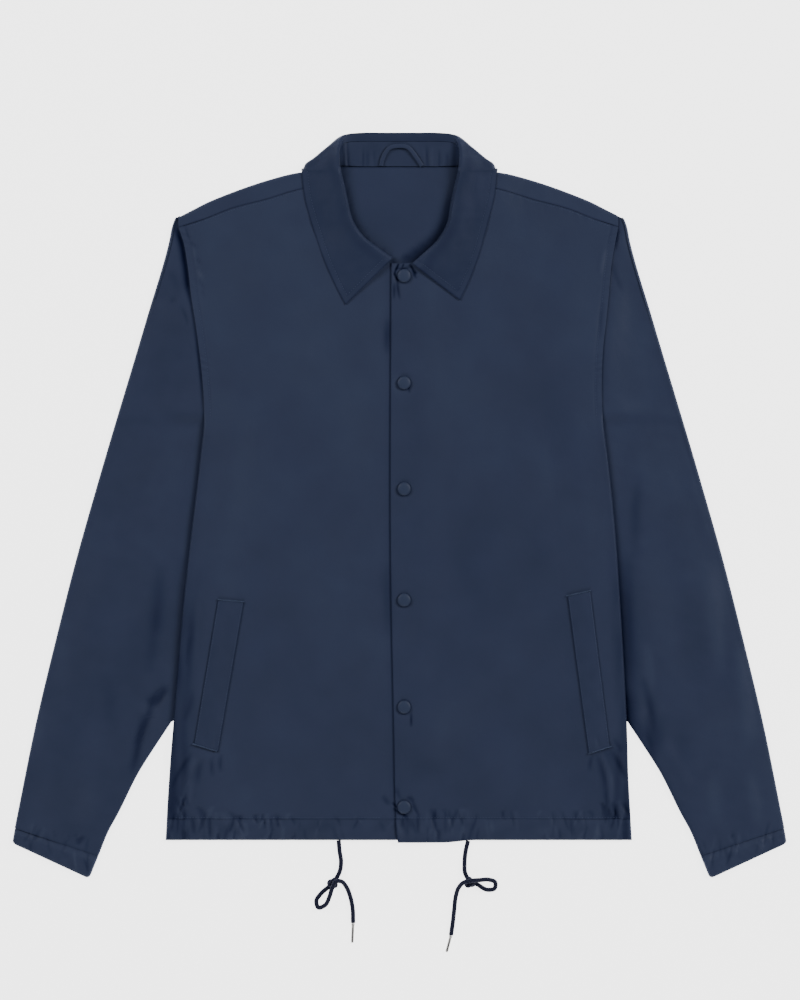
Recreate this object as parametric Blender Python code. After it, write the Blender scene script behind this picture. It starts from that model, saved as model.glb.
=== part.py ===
"""Coach jacket in thin navy nylon, laid flat on its back with its front up.

+X is the wearer's left, +Y runs from the hem to the collar, +Z is up and z = 0 is the surface it lies on.
All sizes are in metres. Cloth is a wall between two grids of points, rows by columns.
"""
from collections import namedtuple

import bmesh
import bpy
import numpy as np

# Cloth and layers
WALL = 0.0012
SEAM = 0.0003
LAY = 0.0005
BODY_THICK = 0.0054
SLEEVE_THICK = 0.0056
TUCK_THICK = 0.0031
TUCK_LIFT = 0.0037
TUCK_DEPTH = 0.018
COLLAR_LIFT = 0.0017

# Body
HEM_Y = -0.3523
CASING_Y = -0.3302
UNDERARM_Y = 0.0966
SLEEVE_CLEAR_Y = -0.2260
SLEEVE_TOP_Y = 0.3040
ARMHOLE_TOP_Y = 0.2919
NECK_HALF = 0.080
NECK_FRONT_Y = 0.2535
NECK_POINT_Y = 0.3370
NECK_ROUND = 2.2
BACK_NECK_Y = 0.3552
CLOSING_X = -0.0089
UNDERLAP_X = 0.0180
ROW_STEP = 0.0270
ARMHOLE_ROWS = 7
TURN_ANGLES = (0.0, 30.0, 60.0, 90.0)

# Trim
SNAP_X = 0.0048
SNAP_YS = (0.2405, 0.1281, 0.0168, -0.0998, -0.2121, -0.3171)
SNAP_RADIUS = 0.0073
SNAP_HIGH = 0.0028
CORD_THICK = 0.0038
TIP_RADIUS = 0.0015

# Colours, roughness and metallic value
Finish = namedtuple("Finish", "red green blue rough metal")
NYLON = Finish(0.025, 0.036, 0.075, 0.55, 0.0)
CAP_PAINT = Finish(0.030, 0.042, 0.085, 0.45, 0.0)
CORD_YARN = Finish(0.012, 0.016, 0.035, 0.80, 0.0)
TIP_METAL = Finish(0.55, 0.54, 0.52, 0.30, 1.0)

# Side of the body, from the hem to the shoulder tip: the height, and how far out each side lies
Side = namedtuple("Side", "y right left")
SIDES = (
    Side(HEM_Y, 0.2460, 0.2443),
    Side(-0.2835, 0.2420, 0.2405),
    Side(-0.2247, 0.2370, 0.2385),
    Side(-0.0998, 0.2266, 0.2315),
    Side(-0.0368, 0.2195, 0.2273),
    Side(0.0483, 0.2095, 0.2210),
    Side(UNDERARM_Y, 0.2046, 0.2142),
    Side(0.1365, 0.2074, 0.2144),
    Side(0.1848, 0.2137, 0.2175),
    Side(0.2205, 0.2184, 0.2205),
    Side(0.2635, 0.2226, 0.2262),
    Side(ARMHOLE_TOP_Y, 0.2262, 0.2288),
)

# Shoulder, from the neck outwards: the fold that is its outline, and the seam that lies forward of it
Shoulder = namedtuple("Shoulder", "x fold seam")
SHOULDERS = (
    Shoulder(0.0600, 0.3600, 0.3420),
    Shoulder(NECK_HALF, 0.3550, NECK_POINT_Y),
    Shoulder(0.0980, 0.3505, 0.3332),
    Shoulder(0.1120, 0.3483, 0.3298),
    Shoulder(0.1391, 0.3413, 0.3215),
    Shoulder(0.1769, 0.3283, 0.3114),
    Shoulder(0.2063, 0.3161, 0.3000),
    Shoulder(0.2310, 0.3035, 0.2922),
)

# Sleeve outline below the shoulder tip, as distances out from the middle of the body
Edge = namedtuple("Edge", "y x")
SLEEVE_OUTER = (
    Edge(0.2950, 0.2372),
    Edge(0.2783, 0.2420),
    Edge(0.1943, 0.2664),
    Edge(0.0263, 0.3164),
    Edge(-0.0578, 0.3402),
    Edge(-0.1418, 0.3615),
    Edge(-0.2205, 0.3804),
    Edge(-0.3392, 0.4046),
)
SLEEVE_INNER = (
    Edge(SLEEVE_CLEAR_Y, 0.2385),
    Edge(-0.2520, 0.2557),
    Edge(-0.2772, 0.2718),
    Edge(-0.3276, 0.2975),
    Edge(-0.3402, 0.3045),
    Edge(-0.3686, 0.3164),
)
CUFF_TOP_OUTER = (0.4044, -0.3397)
CUFF_TOP_INNER = (0.3166, -0.3693)
CUFF_END_OUTER = (0.4058, -0.3527)
CUFF_END_INNER = (0.3250, -0.3900)
CUFF_THICK = 0.0066
CUFF_WALL = 0.0016
CUFF_GATHERS = 11
GATHER_HIGH = 0.0008

# Hem casing
HEM_PUCKERS = 9
PUCKER_HIGH = 0.0007

# Main folds of the cloth: a straight ridge or trough with soft ends, and how high it stands
Fold = namedtuple("Fold", "from_x from_y to_x to_y width height")
BODY_FOLDS = (
    Fold(-0.236, -0.318, -0.190, -0.262, 0.016, 0.0009),
    Fold(-0.215, -0.325, -0.165, -0.290, 0.014, -0.0007),
    Fold(-0.170, -0.325, -0.140, -0.300, 0.013, 0.0006),
    Fold(0.228, -0.318, 0.196, -0.262, 0.016, 0.0008),
    Fold(0.205, -0.325, 0.172, -0.280, 0.014, -0.0006),
    Fold(0.010, -0.318, 0.048, -0.296, 0.013, 0.0006),
    Fold(-0.014, 0.150, -0.018, 0.235, 0.014, -0.0006),
    Fold(0.060, -0.250, 0.120, 0.020, 0.040, 0.0008),
    Fold(-0.120, -0.060, -0.070, 0.190, 0.045, 0.0008),
)
SLEEVE_FOLDS = (
    Fold(0.238, -0.080, 0.262, -0.205, 0.020, -0.0012),
    Fold(0.283, -0.200, 0.305, -0.275, 0.020, -0.0010),
    Fold(0.300, 0.000, 0.345, -0.190, 0.030, 0.0009),
    Fold(0.262, -0.245, 0.292, -0.295, 0.014, 0.0009),
    Fold(0.248, 0.215, 0.262, 0.120, 0.018, -0.0010),
)

# Collar sections from the front edge to the middle of the back. Each has the neck seam, the roll where the
# collar turns over, the outline where it passes over the shoulder, and its free edge.
Section = namedtuple("Section", "seam_x seam_y seam_z roll_x roll_y roll_z over_x over_y edge_x edge_y wrap")
COLLAR_RIGHT = (
    Section(0.0105, 0.2535, 0.0059, 0.0068, 0.2592, 0.0112, 0.0300, 0.2335, 0.0565, 0.2104, 0.0),
    Section(0.0300, 0.2560, 0.0059, 0.0225, 0.2703, 0.0120, 0.0440, 0.2510, 0.0680, 0.2320, 0.0),
    Section(0.0515, 0.2690, 0.0059, 0.0370, 0.2815, 0.0126, 0.0570, 0.2670, 0.0790, 0.2570, 0.0),
    Section(0.0650, 0.2865, 0.0059, 0.0480, 0.2970, 0.0132, 0.0680, 0.2830, 0.0870, 0.2800, 0.0),
    Section(0.0728, 0.3065, 0.0059, 0.0530, 0.3140, 0.0136, 0.0740, 0.3050, 0.0945, 0.3030, 0.0),
    Section(0.0768, 0.3260, 0.0059, 0.0562, 0.3297, 0.0140, 0.0780, 0.3240, 0.0995, 0.3235, 0.0),
    Section(0.0752, 0.3420, 0.0057, 0.0601, 0.3455, 0.0144, 0.0820, 0.3440, 0.1040, 0.3475, 0.0),
    Section(0.0728, 0.3465, 0.0052, 0.0612, 0.3510, 0.0145, 0.1000, 0.3495, 0.1048, 0.3518, 0.4),
    Section(0.0704, 0.3502, 0.0046, 0.0622, 0.3565, 0.0144, 0.1038, 0.3526, 0.1044, 0.3526, 0.98),
    Section(0.0682, 0.3532, 0.0040, 0.0626, 0.3620, 0.0142, 0.0985, 0.3590, 0.0945, 0.3420, 1.0),
    Section(0.0655, 0.3556, 0.0034, 0.0628, 0.3690, 0.0136, 0.0905, 0.3645, 0.0860, 0.3360, 1.0),
    Section(0.0610, 0.3566, 0.0029, 0.0612, 0.3795, 0.0116, 0.0760, 0.3765, 0.0680, 0.3290, 1.0),
    Section(0.0550, 0.3566, 0.0029, 0.0560, 0.3865, 0.0082, 0.0600, 0.3885, 0.0500, 0.3240, 1.0),
    Section(0.0390, 0.3560, 0.0029, 0.0385, 0.3880, 0.0064, 0.0390, 0.3902, 0.0330, 0.3210, 1.0),
    Section(0.0195, 0.3560, 0.0029, 0.0195, 0.3880, 0.0062, 0.0195, 0.3902, 0.0165, 0.3200, 1.0),
)
COLLAR_LEFT_POINT = (0.0634, 0.2151)
COLLAR_LEFT_ROLL = (0.0131, 0.2535)
FRONT_STAND_Z = 0.0077
STAND_SHORT = 0.0060
STAND_HIGH = 0.0100
STAND_GAP = 0.0012
STAND_UNDER = 0.0005
HANG_Z = 0.0098
LEAF_OVER = 0.0010

# Drawcords: the middle of each cord in plan, from the hem to its tip, and its height over a crossing
Route = namedtuple("Route", "x y z")
CORD_RIGHT = (
    Route(-0.0640, -0.3527, 0.0),
    Route(-0.0630, -0.3640, 0.0),
    Route(-0.0615, -0.3740, 0.0),
    Route(-0.0625, -0.3840, 0.0),
    Route(-0.0665, -0.3925, 0.0),
    Route(-0.0735, -0.4005, 0.0),
    Route(-0.0825, -0.4085, 0.0),
    Route(-0.0875, -0.4165, 0.0),
    Route(-0.0855, -0.4230, 0.0006),
    Route(-0.0785, -0.4205, 0.0030),
    Route(-0.0735, -0.4110, 0.0062),
    Route(-0.0705, -0.4015, 0.0080),
    Route(-0.0665, -0.3945, 0.0082),
    Route(-0.0610, -0.3950, 0.0060),
    Route(-0.0560, -0.4010, 0.0022),
    Route(-0.0520, -0.4110, 0.0),
    Route(-0.0493, -0.4240, 0.0),
    Route(-0.0488, -0.4392, 0.0),
)
CORD_LEFT = (
    Route(0.0720, -0.3531, 0.0),
    Route(0.0695, -0.3640, 0.0),
    Route(0.0683, -0.3770, 0.0),
    Route(0.0690, -0.3870, 0.0),
    Route(0.0735, -0.3945, 0.0),
    Route(0.0820, -0.3990, 0.0),
    Route(0.0925, -0.4045, 0.0),
    Route(0.1000, -0.4030, 0.0),
    Route(0.1005, -0.3965, 0.0008),
    Route(0.0940, -0.3935, 0.0030),
    Route(0.0840, -0.3935, 0.0062),
    Route(0.0745, -0.3940, 0.0082),
    Route(0.0670, -0.3960, 0.0080),
    Route(0.0620, -0.4020, 0.0040),
    Route(0.0590, -0.4120, 0.0006),
    Route(0.0575, -0.4250, 0.0),
    Route(0.0560, -0.4390, 0.0),
    Route(0.0541, -0.4522, 0.0),
)
CORD_POINT_STEP = 0.0055
TIP_RIGHT_END = (-0.0497, -0.4604)
TIP_LEFT_END = (0.0494, -0.4701)


def material(name, finish):
    """A plain coloured material with the finish's roughness and metallic value."""
    made = bpy.data.materials.new(name)
    made.use_nodes = True
    shader = made.node_tree.nodes["Principled BSDF"]
    shader.inputs["Base Color"].default_value = (finish.red, finish.green, finish.blue, 1.0)
    shader.inputs["Roughness"].default_value = finish.rough
    shader.inputs["Metallic"].default_value = finish.metal
    return made


def mesh_object(name, points, faces, finish):
    """An object from points and faces, its faces turned outwards and shaded smooth."""
    mesh = bpy.data.meshes.new(name)
    mesh.from_pydata([tuple(p) for p in points], [], [tuple(f) for f in faces])
    shell = bmesh.new()
    shell.from_mesh(mesh)
    bmesh.ops.recalc_face_normals(shell, faces=shell.faces)
    shell.to_mesh(mesh)
    shell.free()
    mesh.shade_smooth()
    mesh.set_sharp_from_angle(angle=np.radians(40.0))
    mesh.materials.append(material(name, finish))
    made = bpy.data.objects.new(name, mesh)
    bpy.context.scene.collection.objects.link(made)
    return made


def grid_faces(index):
    """The four-sided faces between neighbouring rows and columns of point numbers."""
    corners = (index[:-1, :-1], index[:-1, 1:], index[1:, 1:], index[1:, :-1])
    return np.stack(corners, axis=-1).reshape(-1, 4)


def wall(name, outer, inner, finish, ring=False):
    """A closed wall between an outer and an inner grid. A ring's last column joins its first."""
    rows, columns = outer.shape[:2]
    index = np.arange(rows * columns).reshape(rows, columns)
    if ring:
        index = np.concatenate([index, index[:, :1]], axis=1)
    inside = index + rows * columns
    faces = [grid_faces(index), grid_faces(inside)[:, ::-1]]
    rims = [(0, slice(None)), (-1, slice(None))]
    if not ring:
        rims += [(slice(None), 0), (slice(None), -1)]
    for rim in rims:
        faces.append(grid_faces(np.stack([index[rim], inside[rim]])))
    points = np.concatenate([outer.reshape(-1, 3), inner.reshape(-1, 3)])
    return mesh_object(name, points, np.concatenate(faces), finish)


def behind(outer, thickness, ring=False, turned=False):
    """The points one thickness behind a grid, along its normals. A turned sheet ends in round edges."""
    down = np.gradient(outer, axis=0)
    if ring:
        across = (np.roll(outer, -1, axis=1) - np.roll(outer, 1, axis=1)) / 2
    else:
        across = np.gradient(outer, axis=1, edge_order=2 if turned else 1)
    normal = np.cross(across, down)
    normal /= np.linalg.norm(normal, axis=-1, keepdims=True)
    return outer - normal * thickness


def curve_at(places, values, at):
    """A smooth curve through a table: each stretch is a cubic that leaves and meets its ends at their mean slope."""
    places = np.asarray(places, float)
    values = np.asarray(values, float)
    if places[0] > places[-1]:
        places, values = places[::-1], values[::-1]
    slopes = np.gradient(values, places)
    at = np.clip(at, places[0], places[-1])
    i = np.clip(np.searchsorted(places, at) - 1, 0, len(places) - 2)
    width = places[i + 1] - places[i]
    t = (at - places[i]) / width
    rise = values[i + 1] - values[i]
    ease = t * t * (3 - 2 * t)
    return (
        values[i]
        + rise * ease
        + width * (slopes[i] * t * (1 - t) ** 2 - slopes[i + 1] * t * t * (1 - t))
    )


def column(table, name):
    return [getattr(row, name) for row in table]


def step(value, low, high):
    """0 below low, 1 above high, and a smooth rise between."""
    t = np.clip((value - low) / (high - low), 0.0, 1.0)
    return t * t * (3 - 2 * t)


def side_x(y, side):
    """How far out the body's side lies at a height. side is -1 for the wearer's right and 1 for the left."""
    return curve_at(column(SIDES, "y"), column(SIDES, "right" if side < 0 else "left"), y)


def shoulder(x, line):
    return curve_at(column(SHOULDERS, "x"), column(SHOULDERS, line), np.abs(x))


def neckline(x):
    """The front neckline is a quarter of a rounded rectangle from the closing to the neck point."""
    across = np.clip(np.abs(x) / NECK_HALF, 0.0, 1.0) ** NECK_ROUND
    return NECK_FRONT_Y + (NECK_POINT_Y - NECK_FRONT_Y) * (1 - np.sqrt(1 - across))


def folds(x, y, table):
    """The sum of the table's folds: a bell across each fold's line, faded beyond its two ends."""
    height = np.zeros(np.broadcast(x, y).shape)
    for fold in table:
        start = np.array([fold.from_x, fold.from_y])
        run = np.array([fold.to_x, fold.to_y]) - start
        length = np.hypot(*run)
        run /= length
        along = (x - start[0]) * run[0] + (y - start[1]) * run[1]
        beside = (x - start[0]) * run[1] - (y - start[1]) * run[0]
        beyond = np.maximum(np.maximum(-along, along - length), 0.0)
        height += fold.height * np.exp(-(beside**2 + beyond**2) / fold.width**2)
    return height


def under_body(x, y):
    """The height of the back's underside: it rises over the tucked sleeves and over the turned-down collar."""
    side = np.where(x < 0, side_x(y, -1), side_x(y, 1))
    inwards = side - np.abs(x)
    beside = 1 - step(inwards, TUCK_DEPTH + 0.010, TUCK_DEPTH + 0.045)
    along = step(y, SLEEVE_CLEAR_Y - 0.060, SLEEVE_CLEAR_Y - 0.024)
    along = along * (1 - step(y, UNDERARM_Y + 0.022, UNDERARM_Y + 0.060))
    collar = step(y, 0.285, 0.312) * (1 - step(np.abs(x), 0.104, 0.135))
    return TUCK_LIFT * beside * along + COLLAR_LIFT * collar


def body_rows():
    """Heights of the body's rows at its sides, from the casing seam to the shoulder tip, one at the underarm."""
    below = np.arange(CASING_Y + SEAM, UNDERARM_Y - ROW_STEP / 2, ROW_STEP)
    above = np.linspace(UNDERARM_Y, ARMHOLE_TOP_Y, ARMHOLE_ROWS)
    return np.concatenate([below, above])


def raised_to(top, y):
    """Rows that follow the sides below, and a top edge of any shape above."""
    share = step(y, 0.02, ARMHOLE_TOP_Y)
    return y + share * (top - ARMHOLE_TOP_Y)


def side_turn(y):
    """1 where front and back are folded together at the side, 0 along the armhole."""
    return 1 - step(y, UNDERARM_Y - 0.020, UNDERARM_Y + 0.004)


def ride(x, side):
    """How far the left front is raised by the underlap of the right one."""
    if side < 0:
        return np.zeros_like(x)
    return (WALL + LAY) * (1 - step(x, UNDERLAP_X + 0.002, UNDERLAP_X + 0.040))


def front_height(x, y, side):
    """The top of a front panel."""
    return under_body(x, y) + BODY_THICK + folds(x, y, BODY_FOLDS) + ride(x, side)


def turned_columns(x, y, z, side, radius, up):
    """Rounds the outer columns of a sheet at the body's side. up is 1 where it turns up and -1 where down."""
    turn = side_turn(y)
    depth = np.clip(side_x(y, side) - np.abs(x), 0.0, radius)
    drop = radius - np.sqrt(np.maximum(radius**2 - (radius - depth) ** 2, 0.0))
    return z + up * turn * drop


def front_columns(side):
    """Places of a front's columns along its top edge, from the armhole to the closing edge."""
    end = side_x(ARMHOLE_TOP_Y, side)
    closing = CLOSING_X if side > 0 else -UNDERLAP_X
    turn = end - (BODY_THICK - SEAM) / 2 * (1 - np.cos(np.radians(TURN_ANGLES)))
    inner = np.array([0.204, 0.190, 0.172, 0.152, 0.122, 0.098, NECK_HALF, 0.0755, 0.064, 0.044, 0.022])
    return np.concatenate([turn, inner, [closing]])


def front(side):
    """A front panel, from the casing seam to the shoulder seam and the neckline, behind the armhole's edge."""
    top_x = front_columns(side)
    y = body_rows()[:, None]
    top_y = np.where(top_x >= NECK_HALF, shoulder(top_x, "seam") - SEAM, neckline(top_x))
    top_y[0] = ARMHOLE_TOP_Y
    y = raised_to(top_y[None, :], y)
    reach = side_x(y, side)
    turned = 4
    share = (top_x[turned - 1] - top_x) / (top_x[turned - 1] - top_x[-1])
    flat_reach = reach - (top_x[0] - top_x[turned - 1])
    x = flat_reach + (top_x[-1] - flat_reach) * share[None, :]
    x[:, :turned] = reach[:, :turned] - (top_x[0] - top_x[None, :turned])
    x = side * x
    z = front_height(x, y, side)
    z = turned_columns(x, y, z, side, (BODY_THICK - SEAM) / 2, -1)
    outer = np.stack([x, y, z], axis=-1)
    name = "front_left" if side > 0 else "front_right"
    return wall(name, outer, behind(outer, -side * WALL, turned=True), NYLON)


def back():
    """The back panel: flat below, turned up at the sides, and carried over the shoulders to the forward seams."""
    radius = BODY_THICK / 2
    half = np.array([0.0, 0.030, 0.055, 0.0700, 0.0755, NECK_HALF, 0.098, 0.122, 0.152, 0.172, 0.190, 0.204])
    y_side = body_rows()
    made = []
    for side in (-1, 1):
        turn = (BODY_THICK - SEAM) / 2 * (1 - np.cos(np.radians(TURN_ANGLES[::-1])))
        end = side_x(ARMHOLE_TOP_Y, side)
        top_x = np.concatenate([half, end - turn])
        wrap = step(top_x, 0.0690, NECK_HALF)
        flat_y = np.minimum(shoulder(top_x, "fold") - radius, BACK_NECK_Y - 0.006)
        y = raised_to(flat_y[None, :], y_side[:, None])
        reach = side_x(y, side)
        share = top_x / top_x[len(half)]
        x = (reach - turn[0]) * share[None, :]
        x[:, len(half):] = reach[:, len(half):] - turn[None, :]
        z = turned_columns(x * side, y, under_body(x * side, y), side, (BODY_THICK - SEAM) / 2, 1)
        rows = [np.stack([x * side, y, z], axis=-1)]
        # Over the fold: the path runs flat, round a half circle, and back to the seam
        start = flat_y
        fold = shoulder(top_x, "fold")
        bend = fold - radius - start
        back_run = fold - radius - shoulder(top_x, "seam")
        whole = bend + np.pi * radius + back_run
        stop = wrap * whole + (1 - wrap) * (BACK_NECK_Y - start)
        for part in np.linspace(0.0, 1.0, 9)[1:]:
            s = part * stop
            angle = np.clip((s - bend) / radius, 0.0, np.pi)
            past = np.maximum(s - bend - np.pi * radius, 0.0)
            row_y = start + np.minimum(s, bend) + radius * np.sin(angle) - past
            row_x = side * np.minimum(top_x, side_x(row_y, side))
            row_z = under_body(row_x, row_y) + radius * (1 - np.cos(angle))
            rows.append(np.stack([row_x, row_y, row_z], axis=-1)[None])
        made.append(np.concatenate(rows))
    outer = np.concatenate([made[0][:, ::-1], made[1][:, 1:]], axis=1)
    return wall("back", outer, behind(outer, -WALL, turned=True), NYLON)


def sleeve_inner(y):
    """The sleeve's inner edge: along the armhole, then tucked under the body's side, then free above the cuff."""
    return curve_at(column(SLEEVE_INNER, "y"), column(SLEEVE_INNER, "x"), y)


def sleeve(side):
    """One piece of cloth folded at the sleeve's outer edge. Its two edges meet at the armhole and the underseam."""
    armhole = np.linspace(ARMHOLE_TOP_Y, UNDERARM_Y, ARMHOLE_ROWS)
    down = np.linspace(0.0, 1.0, 17)[1:]
    inner_y = np.concatenate([armhole, UNDERARM_Y + down * (-0.3686 - UNDERARM_Y)])
    outer_y = np.concatenate([armhole, UNDERARM_Y + down * (-0.3392 - UNDERARM_Y)])
    outer_y[0] = SLEEVE_OUTER[0].y
    inner_y[0] = SLEEVE_TOP_Y
    tucked = np.clip((UNDERARM_Y - 0.010 - inner_y) / (UNDERARM_Y - 0.010 - SLEEVE_CLEAR_Y), 0.0, 1.0)
    hidden = side_x(inner_y, side) + LAY - TUCK_DEPTH * np.sin(np.pi * tucked) ** 0.7
    inner_x = np.where(inner_y > SLEEVE_CLEAR_Y, hidden, sleeve_inner(inner_y))
    inner_x[0] += 0.0012
    outer_x = curve_at(column(SLEEVE_OUTER, "y"), column(SLEEVE_OUTER, "x"), outer_y)
    inner = np.stack([inner_x, inner_y], axis=-1)
    outer = np.stack([outer_x, outer_y], axis=-1)
    width = np.linalg.norm(outer - inner, axis=-1)[:, None]
    below = (inner_y < UNDERARM_Y + 0.012)[:, None]
    visible = step(-inner_y, -SLEEVE_CLEAR_Y - 0.010, -SLEEVE_CLEAR_Y + 0.050)[:, None]
    edge_thick = np.where(below, TUCK_THICK + (SLEEVE_THICK - 0.0006 - TUCK_THICK) * visible, 0.0046)
    closed = 1 - step(inner_y, UNDERARM_Y - 0.004, UNDERARM_Y + 0.020)[:, None]
    # Upper layer from the inner edge out, round the outer fold, and the lower layer back in
    edge_turn = np.radians(np.array([90.0, 45.0, 0.0]))
    edge_round = (edge_thick - SEAM) / 2
    fold_round = SLEEVE_THICK / 2
    shares = np.array([0.12, 0.30, 0.52, 0.76])
    span = width - edge_round - fold_round
    upper = np.concatenate(
        [edge_round * (1 - np.sin(edge_turn)), edge_round + shares * span], axis=1
    )
    rise = step(upper, 0.020, 0.050) * (1 - 0.35 * closed * (1 - visible))
    upper_z = edge_thick + (SLEEVE_THICK - edge_thick) * rise
    upper_z[:, :3] = edge_thick - closed * edge_round * (1 - np.cos(edge_turn))
    fold_turn = np.radians(np.array([0.0, 45.0, 90.0, 135.0, 180.0]))
    around = width - fold_round + fold_round * np.sin(fold_turn)
    around_z = fold_round * (1 + np.cos(fold_turn)) + np.zeros_like(around)
    lower = np.concatenate(
        [edge_round + shares[::-2] * span, edge_round * (1 - np.sin(edge_turn[::-1]))], axis=1
    )
    lower_z = np.zeros_like(lower)
    lower_z[:, -3:] = closed * edge_round * (1 - np.cos(edge_turn[::-1]))
    out = np.concatenate([upper, around, lower], axis=1)
    z = np.concatenate([upper_z, around_z, lower_z], axis=1)
    plan = inner[:, None] + (outer - inner)[:, None] * (out / width)[..., None]
    on_top = np.arange(z.shape[1]) < upper.shape[1]
    inside = step(out, 0.010, 0.030) * on_top
    z = z + inside * folds(plan[..., 0], plan[..., 1], SLEEVE_FOLDS)
    surface = np.stack([side * plan[..., 0], plan[..., 1], z], axis=-1)
    name = "sleeve_left" if side > 0 else "sleeve_right"
    return wall(name, surface, behind(surface, -side * WALL, turned=True), NYLON)


def cuff(side):
    """A flattened ring whose upper side stands in gathers over a plain inside."""
    count = CUFF_GATHERS * 3
    across = np.linspace(0.0, 1.0, count + 1)
    radius = CUFF_THICK / 2
    turn = np.radians(np.array([30.0, 90.0, 150.0]))
    rows = []
    plain = []
    for part in (0.0, 0.5, 1.0):
        inner = np.array(CUFF_TOP_INNER) * (1 - part) + np.array(CUFF_END_INNER) * part
        outer = np.array(CUFF_TOP_OUTER) * (1 - part) + np.array(CUFF_END_OUTER) * part
        width = np.hypot(*(outer - inner))
        swing = across + 0.012 * np.sin(2 * np.pi * 3.3 * across)
        wave = GATHER_HIGH * (1 - np.cos(2 * np.pi * CUFF_GATHERS * swing)) / 2
        top = radius + across * (width - 2 * radius)
        out = np.concatenate(
            [top, width - radius + radius * np.sin(turn), top[::-6], radius - radius * np.sin(turn)]
        )
        base = np.concatenate(
            [
                np.full(count + 1, CUFF_THICK),
                radius * (1 + np.cos(turn)),
                np.zeros(len(top[::-6])),
                radius * (1 - np.cos(turn)),
            ]
        )
        raised = base.copy()
        raised[: count + 1] += wave * (1.0 - 0.4 * part)
        plan = inner + (outer - inner) * (out / width)[:, None]
        rows.append(np.column_stack([plan * (side, 1.0), raised]))
        plain.append(np.column_stack([plan * (side, 1.0), base]))
    name = "cuff_left" if side > 0 else "cuff_right"
    inside = behind(np.array(plain), -side * CUFF_WALL, ring=True)
    return wall(name, np.array(rows), inside, NYLON, ring=True)


def casing_front(side):
    """The turned-up hem of a front, one drawcord channel high, with puckers raised in its outer points."""
    closing = CLOSING_X if side > 0 else -UNDERLAP_X
    radius = (BODY_THICK - SEAM) / 2
    y = np.array([CASING_Y, -0.3370, -0.3450, HEM_Y + 0.0012, HEM_Y])
    full = np.array([0.0, 0.0006, 0.0007, 0.0, -0.0011])
    reach = side_x(y, side)[:, None]
    turned = radius * (1 - np.cos(np.radians(TURN_ANGLES)))
    shares = np.linspace(0.0, 1.0, HEM_PUCKERS * 3 + 1)[1:]
    flat_end = reach - turned[-1]
    x = np.concatenate([reach - turned, flat_end + (closing - flat_end) * shares], axis=1) * side
    y = y[:, None] + np.zeros_like(x)
    if side > 0:
        y = y - 0.0026 * (1 - step(x, 0.045, 0.080)) * step(CASING_Y - y, 0.0, CASING_Y - HEM_Y)
    base = front_height(x, y, side)
    base = turned_columns(x, y, base, side, radius, -1)
    swing = HEM_PUCKERS * (np.abs(x) / 0.24 + 0.03 * np.sin(np.abs(x) * 45.0))
    pucker = PUCKER_HIGH * (1 - np.cos(2 * np.pi * swing)) / 2
    inside = (side_x(y, side) - np.abs(x) > radius) * 1.0
    if side < 0:
        inside = inside * (1 - step(x, CLOSING_X - 0.020, CLOSING_X - 0.004))
    crown = full[:, None] + pucker * np.array([1.0, 0.7, 0.35, 0.1, 0.0])[:, None]
    outer = np.stack([x, y, base + crown * inside], axis=-1)
    plain = np.stack([x, y, base], axis=-1)
    name = "casing_front_left" if side > 0 else "casing_front_right"
    return wall(name, outer, behind(plain, side * WALL, turned=True), NYLON)


def casing_back():
    """The turned-up hem of the back, flat where it rests."""
    radius = (BODY_THICK - SEAM) / 2
    turned = radius * (1 - np.cos(np.radians(TURN_ANGLES)))
    y = np.array([CASING_Y, -0.3412, HEM_Y])
    made = []
    for side in (-1, 1):
        reach = side_x(y, side)[:, None]
        flat_end = reach - turned[-1]
        shares = np.linspace(0.0, 1.0, 6)[:-1]
        x = np.concatenate([flat_end * shares, (reach - turned)[:, ::-1]], axis=1) * side
        made.append(x)
    x = np.concatenate([made[0][:, ::-1], made[1][:, 1:]], axis=1)
    y = y[:, None] + np.zeros_like(x)
    z = np.where(x < 0, turned_columns(x, y, 0.0, -1, radius, 1), turned_columns(x, y, 0.0, 1, radius, 1))
    outer = np.stack([x, y, z], axis=-1)
    return wall("casing_back", outer, behind(outer, WALL, turned=True), NYLON)


def collar_sections():
    """The collar's sections from the right front edge round the back to the left front edge."""
    right = list(COLLAR_RIGHT)
    middle = right[-1]._replace(seam_x=0.0, roll_x=0.0, over_x=0.0, edge_x=0.0)
    left = list(COLLAR_RIGHT[::-1])
    point = np.array(COLLAR_LEFT_POINT) - (COLLAR_RIGHT[0].edge_x, COLLAR_RIGHT[0].edge_y)
    start = np.array(COLLAR_LEFT_ROLL) - (COLLAR_RIGHT[0].roll_x, COLLAR_RIGHT[0].roll_y)
    moved = []
    for i, section in enumerate(left):
        near = max(0.0, 1.0 - (len(left) - 1 - i) / 4.0)
        moved.append(
            section._replace(
                edge_x=section.edge_x + point[0] * near,
                edge_y=section.edge_y + point[1] * near,
                over_x=section.over_x + (point[0] + start[0]) / 2 * near,
                over_y=section.over_y + (point[1] + start[1]) / 2 * near,
                roll_x=section.roll_x + start[0] * near,
                roll_y=section.roll_y + start[1] * near,
                seam_x=section.seam_x + start[0] * near,
            )
        )
    return [(-1, section) for section in right] + [(-1, middle)] + [(1, section) for section in moved]


def stand_top(side, section):
    """Where the stand meets the collar, just short of the roll, and its height there."""
    seam = np.array([section.seam_x, section.seam_y])
    roll = np.array([section.roll_x, section.roll_y])
    far = np.hypot(*(seam - roll))
    height = min(section.roll_z - 0.0008, STAND_HIGH) if section.wrap else FRONT_STAND_Z
    height = height + (0.0 if section.wrap else ride(side * section.seam_x, side))
    return roll + (seam - roll) / far * min(STAND_SHORT, far / 2), height


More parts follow.
